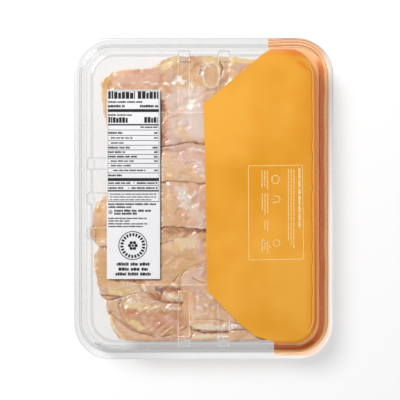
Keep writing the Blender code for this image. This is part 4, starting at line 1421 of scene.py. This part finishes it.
class Print:
    """Flat bars of ink on a label, kept in one mesh."""

    def __init__(self, height):
        self.shape = bmesh.new()
        self.height = height

    def bar(self, x0, x1, y0, y1):
        """A bar between two corners, in millimetres."""
        box(self.shape, (x0 * MM, y0 * MM, self.height),
            (x1 * MM, y1 * MM, self.height + INK))

    def stroke(self, start, end, width):
        """A straight line of ink."""
        (x0, y0), (x1, y1) = start, end
        half = width / 2 / math.hypot(x1 - x0, y1 - y0)
        side = (-(y1 - y0) * half, (x1 - x0) * half)
        self.polygon(((x0 - side[0], y0 - side[1]), (x1 - side[0], y1 - side[1]),
                      (x1 + side[0], y1 + side[1]), (x0 + side[0], y0 + side[1])))

    def polygon(self, corners):
        """A flat field of ink inside counter-clockwise corners."""
        below, above = [[self.shape.verts.new((x * MM, y * MM, z)) for x, y in corners]
                        for z in (self.height, self.height + INK)]
        self.shape.faces.new(below[::-1])
        self.shape.faces.new(above)
        wall_between(self.shape, below, above)

    def ring(self, x, y, outer, inner, parts=48, start=0.0, sweep=360.0):
        """A ring or arc of ink."""
        turns = [math.radians(start + sweep * part / parts) for part in range(parts + 1)]
        for here, after in zip(turns, turns[1:]):
            self.polygon([(x + radius * math.cos(turn), y + radius * math.sin(turn))
                          for radius, turn in ((inner, here), (outer, here), (outer, after),
                                               (inner, after))])

    def words(self, x0, x1, y, height, seed, upright=True):
        """A row of short bars that stands for words, along X or down Y."""
        draw = np.random.default_rng(seed)
        place = x0
        while place < x1 - 0.3:
            length = min(draw.uniform(2.2, 5.6) * height, x1 - place)
            mark = place
            while mark < place + length - 0.2:
                wide = draw.uniform(0.25, 0.50) if height > 3 else draw.uniform(0.40, 0.95)
                piece = min(height * wide, place + length - mark)
                top = y + height * draw.choice((0.5, 0.45, 0.34))
                if upright:
                    self.bar(mark, mark + piece, y - height / 2, top)
                else:
                    self.bar(y - height / 2, top, -mark - piece, -mark)
                mark += piece + height * 0.10
            place += length + height * 0.50

    def finish(self, name, material, slot):
        """Put the ink in the scene."""
        add_piece(name, to_mesh(name, self.shape), [material], slot)


# Rows of the white label's print: distance from its top, height, then spans from its left
# edge. All in millimetres.
HEADING = ((4.4, 4.9, ((1.3, 23.0), (25.2, 42.0))),)
WORD_ROWS = (
    (10.0, 1.2, ((1.4, 29.0),)), (13.4, 1.7, ((1.2, 14.5), (27.0, 42.0))),
    (20.6, 1.05, ((1.2, 21.0),)), (30.6, 1.05, ((27.5, 41.5),)),
    (35.2, 1.3, ((1.2, 13.0), (38.5, 41.5))), (39.3, 1.05, ((3.2, 21.0), (38.5, 41.5))),
    (43.4, 1.05, ((3.2, 14.5),)), (47.2, 1.3, ((1.2, 19.0), (37.3, 41.5))),
    (50.9, 1.3, ((1.2, 15.0), (38.5, 41.5))), (54.6, 1.3, ((1.2, 24.5), (38.5, 41.5))),
    (58.2, 1.05, ((3.2, 22.0), (38.5, 41.5))), (61.9, 1.05, ((3.2, 19.5),)),
    (65.8, 1.05, ((5.2, 31.5), (38.5, 41.5))), (69.9, 1.3, ((1.2, 12.5),)),
    (76.2, 1.2, ((1.4, 19.5), (24.5, 41.5))), (80.2, 1.2, ((1.4, 13.5), (20.0, 41.5))),
    (85.2, 0.8, ((2.4, 40.5),)), (87.5, 0.8, ((2.4, 40.5),)), (89.8, 0.8, ((2.4, 36.5),)),
    (93.4, 1.2, ((1.2, 40.8),)), (95.8, 1.2, ((1.2, 20.0),)), (98.7, 1.5, ((6.0, 36.0),)),
    (101.1, 1.5, ((6.0, 24.5),)), (105.0, 0.95, ((1.2, 32.5),)), (107.1, 0.95, ((1.2, 18.5),)),
    (109.4, 0.95, ((1.2, 34.0),)), (111.6, 0.95, ((1.2, 29.5),)), (142.3, 2.1, ((8.0, 35.0),)),
    (146.4, 2.1, ((9.5, 33.5),)), (150.4, 2.1, ((7.0, 36.0),)),
)
BOLD_ROWS = ((24.6, 3.9, ((1.3, 17.0), (30.5, 41.5))),)
RULES = (
    (17.0, 2.0), (28.6, 1.0), (32.9, 0.4), (37.3, 0.4), (41.4, 0.4), (45.3, 0.4),
    (49.1, 0.4), (52.8, 0.4), (56.4, 0.4), (60.1, 0.4), (63.8, 0.4), (67.9, 0.4),
    (73.3, 2.1), (78.1, 0.4), (82.5, 1.0), (91.3, 0.4), (1.0, 0.35),
)

# How much thicker than those heights its bars and rules are drawn
HEAVIER = 1.22

# Where its rules and the lines at its sides run
RULE_SPAN = (1.0, 42.3)
FRAME_SIDES = (0.75, 42.35)
FRAME_DROPS = (0.9, 91.4)
FRAME_LINE = 0.3

# Small rings on it: place, outer and inner radius and parts
SMALL_RINGS = (
    (22.2, 76.2, 0.55, 0.0, 12), (17.8, 80.2, 0.55, 0.0, 12), (2.9, 99.9, 1.6, 1.05, 24),
    (2.9, 99.9, 0.6, 0.0, 12),
)

# Its seal: middle, outer and inner radius of the ring and of the teeth in it, how many
# degrees a tooth takes up, and the device of petals round a dot
SEAL = (21.2, 127.2)
SEAL_RING = (11.8, 11.1)
TEETH = 22
TOOTH = (10.2, 7.6)
TOOTH_SWEEP = 10.5
PETALS = 6
PETAL_OUT = 2.7
PETAL = 1.35
HEART = 1.0


def build_white_label():
    """White label with plain bars and a ring device in place of its print."""
    low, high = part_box("white_label")
    face = high[2] - INK
    shape = bmesh.new()
    box(shape, low, (high[0], high[1], face))
    upright = [edge for edge in shape.edges if edge.verts[0].co.xy == edge.verts[1].co.xy]
    bmesh.ops.bevel(shape, geom=upright, offset=WHITE_CORNER, segments=4, profile=0.5,
                    affect="EDGES")
    stock = paper_material("white_stock", (230, 230, 232), 0.5, 2)
    add_piece("white_sheet", to_mesh("white_sheet", shape), [stock], "white_label",
              "white_label")
    left = low[0] / MM
    top = high[1] / MM
    ink = Print(face)
    for table in (HEADING, WORD_ROWS, BOLD_ROWS):
        for number, (drop, height, spans) in enumerate(table):
            for place, (start, end) in enumerate(spans):
                ink.words(left + start, left + end, top - drop, height * HEAVIER,
                          50 * number + place)
    for drop, height in RULES:
        thick = height * HEAVIER / 2
        ink.bar(left + RULE_SPAN[0], left + RULE_SPAN[1], top - drop - thick,
                top - drop + thick)
    for side in FRAME_SIDES:
        ink.bar(left + side, left + side + FRAME_LINE, top - FRAME_DROPS[1],
                top - FRAME_DROPS[0])
    for x, drop, outer, inner, parts in SMALL_RINGS:
        ink.ring(left + x, top - drop, outer, inner, parts)
    x = left + SEAL[0]
    y = top - SEAL[1]
    ink.ring(x, y, *SEAL_RING)
    for step in range(TEETH):
        ink.ring(x, y, *TOOTH, 2, step * 360 / TEETH, TOOTH_SWEEP)
    for step in range(PETALS):
        angle = math.radians(step * 360 / PETALS)
        ink.ring(x + PETAL_OUT * math.cos(angle), y + PETAL_OUT * math.sin(angle), PETAL,
                 0.0, 14)
    ink.ring(x, y, HEART, 0.0, 14)
    ink.finish("white_label_print", ink_material("dark_ink", (8, 8, 12), 0.7),
               "white_label")


# Print on the orange label: corners of its box, then columns of words as place, height,
# start and end down the label, in millimetres
BOX_CORNERS = ((36.4, 26.6), (80.6, 27.2), (81.4, -49.4), (36.8, -50.2))
WORD_COLUMNS = (
    (78.2, 1.9, -24.6, 23.6), (73.6, 0.8, -23.4, 41.0), (71.4, 0.8, -24.0, 39.0),
    (69.2, 0.8, -24.0, 34.0), (52.0, 0.8, -22.8, -7.2), (49.8, 0.8, -22.8, -9.6),
    (47.6, 0.8, -22.8, -8.0), (52.2, 0.8, -4.0, 12.0), (50.0, 0.8, -4.0, 14.0),
    (47.8, 0.8, -4.0, 10.0), (52.2, 0.8, 18.0, 28.0), (50.0, 0.8, 18.0, 26.0),
    (52.2, 0.8, 34.0, 45.0), (50.0, 0.8, 34.0, 42.0), (47.8, 0.8, 34.0, 44.0),
)

# Figures in the box: bars by their sides, rings by place and sizes, strokes by their ends.
# Then the width of their strokes and of the box's line, and how high the ink lies.
FIGURE_BARS = ((55.5, 61.6, 18.2, 18.8), (55.5, 61.6, 12.0, 12.6), (55.5, 56.1, 12.0, 18.8),
               (61.0, 61.6, 12.0, 18.8))
FIGURE_RINGS = ((59.5, -0.6, 2.9, 2.4), (59.5, -36.4, 2.9, 2.4))
FIGURE_STROKES = (((57.0, -4.6), (57.4, 2.4)), ((48.0, -33.0), (54.6, -40.4)))
FIGURE_LINE = 0.5
BOX_LINE = 0.42
PRINT_LIFT = 0.06


def build_orange_print():
    """Pale box with columns of bars and plain figures on the orange label."""
    ink = Print(BASE + (LABEL_LIFT + PRINT_LIFT) * MM)
    for here, after in zip(BOX_CORNERS, BOX_CORNERS[1:] + BOX_CORNERS[:1]):
        ink.stroke(here, after, BOX_LINE)
    for number, (x, height, start, end) in enumerate(WORD_COLUMNS):
        ink.words(start, end, x, height, 300 + number, upright=False)
    for bar in FIGURE_BARS:
        ink.bar(*bar)
    for ring in FIGURE_RINGS:
        ink.ring(*ring, 28)
    for start, end in FIGURE_STROKES:
        ink.stroke(start, end, FIGURE_LINE)
    ink.finish("orange_label_print", ink_material("pale_ink", (250, 218, 150), 0.5),
               "orange_label")


# Floor, lights and camera


def studio():
    """World of a studio: dim straight above, bright low down, brightest at lower right,
    where white cards face the lamp."""
    world = bpy.data.worlds.new("studio")
    world.use_nodes = True
    tree = world.node_tree
    parts = place_parts(tree, "Generated")
    low = levels(tree, parts["Z"], 0.55, 0.95, 1.0, 0.0)
    light = math_node(tree, "MULTIPLY_ADD", low, WORLD_GAIN, WORLD_LOW)
    side = math_node(tree, "MULTIPLY_ADD", parts["X"], WORLD_LEAN[0], 1.0)
    front = math_node(tree, "MULTIPLY", parts["Y"], WORLD_LEAN[1])
    total = math_node(tree, "MULTIPLY", light, math_node(tree, "ADD", side, front))
    backdrop = tree.nodes["Background"]
    feed(tree, backdrop.inputs["Strength"], total)
    feed(tree, backdrop.inputs["Color"], grey(1.0))
    return world


def build_stage():
    """Plain white floor, soft light from the upper left, and the camera above."""
    shape = bmesh.new()
    bmesh.ops.create_grid(shape, x_segments=1, y_segments=1, size=3.0)
    floor = placed("floor", to_mesh("floor", shape))
    floor.location.z = -0.05 * MM
    made, tree, output = new_material("floor_white")
    principled(tree, output, Base_Color=grey(FLOOR_WHITE), Roughness=0.9,
               Emission_Color=grey(1.0), Emission_Strength=FLOOR_GLOW)
    floor.data.materials.append(made)

    key = bpy.data.lights.new("key", "AREA")
    key.shape = "SQUARE"
    key.size = KEY_SIZE
    key.energy = KEY_POWER
    lamp = placed("key", key)
    lamp.location = KEY_AT
    lamp.rotation_euler = (-Vector(KEY_AT)).to_track_quat("-Z", "Y").to_euler()
    bpy.context.scene.world = studio()

    camera = bpy.data.cameras.new("camera")
    camera.sensor_width = 36.0
    camera.lens = CAMERA_LENS
    eye = placed("camera", camera)
    eye.location = CAMERA_AT
    bpy.context.scene.camera = eye
    bpy.context.scene.view_settings.view_transform = "Standard"


build_stage()
build_tray()
build_film()
build_band(*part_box("printed_band"))
build_slices()
build_orange_label()
build_white_label()
build_orange_print()
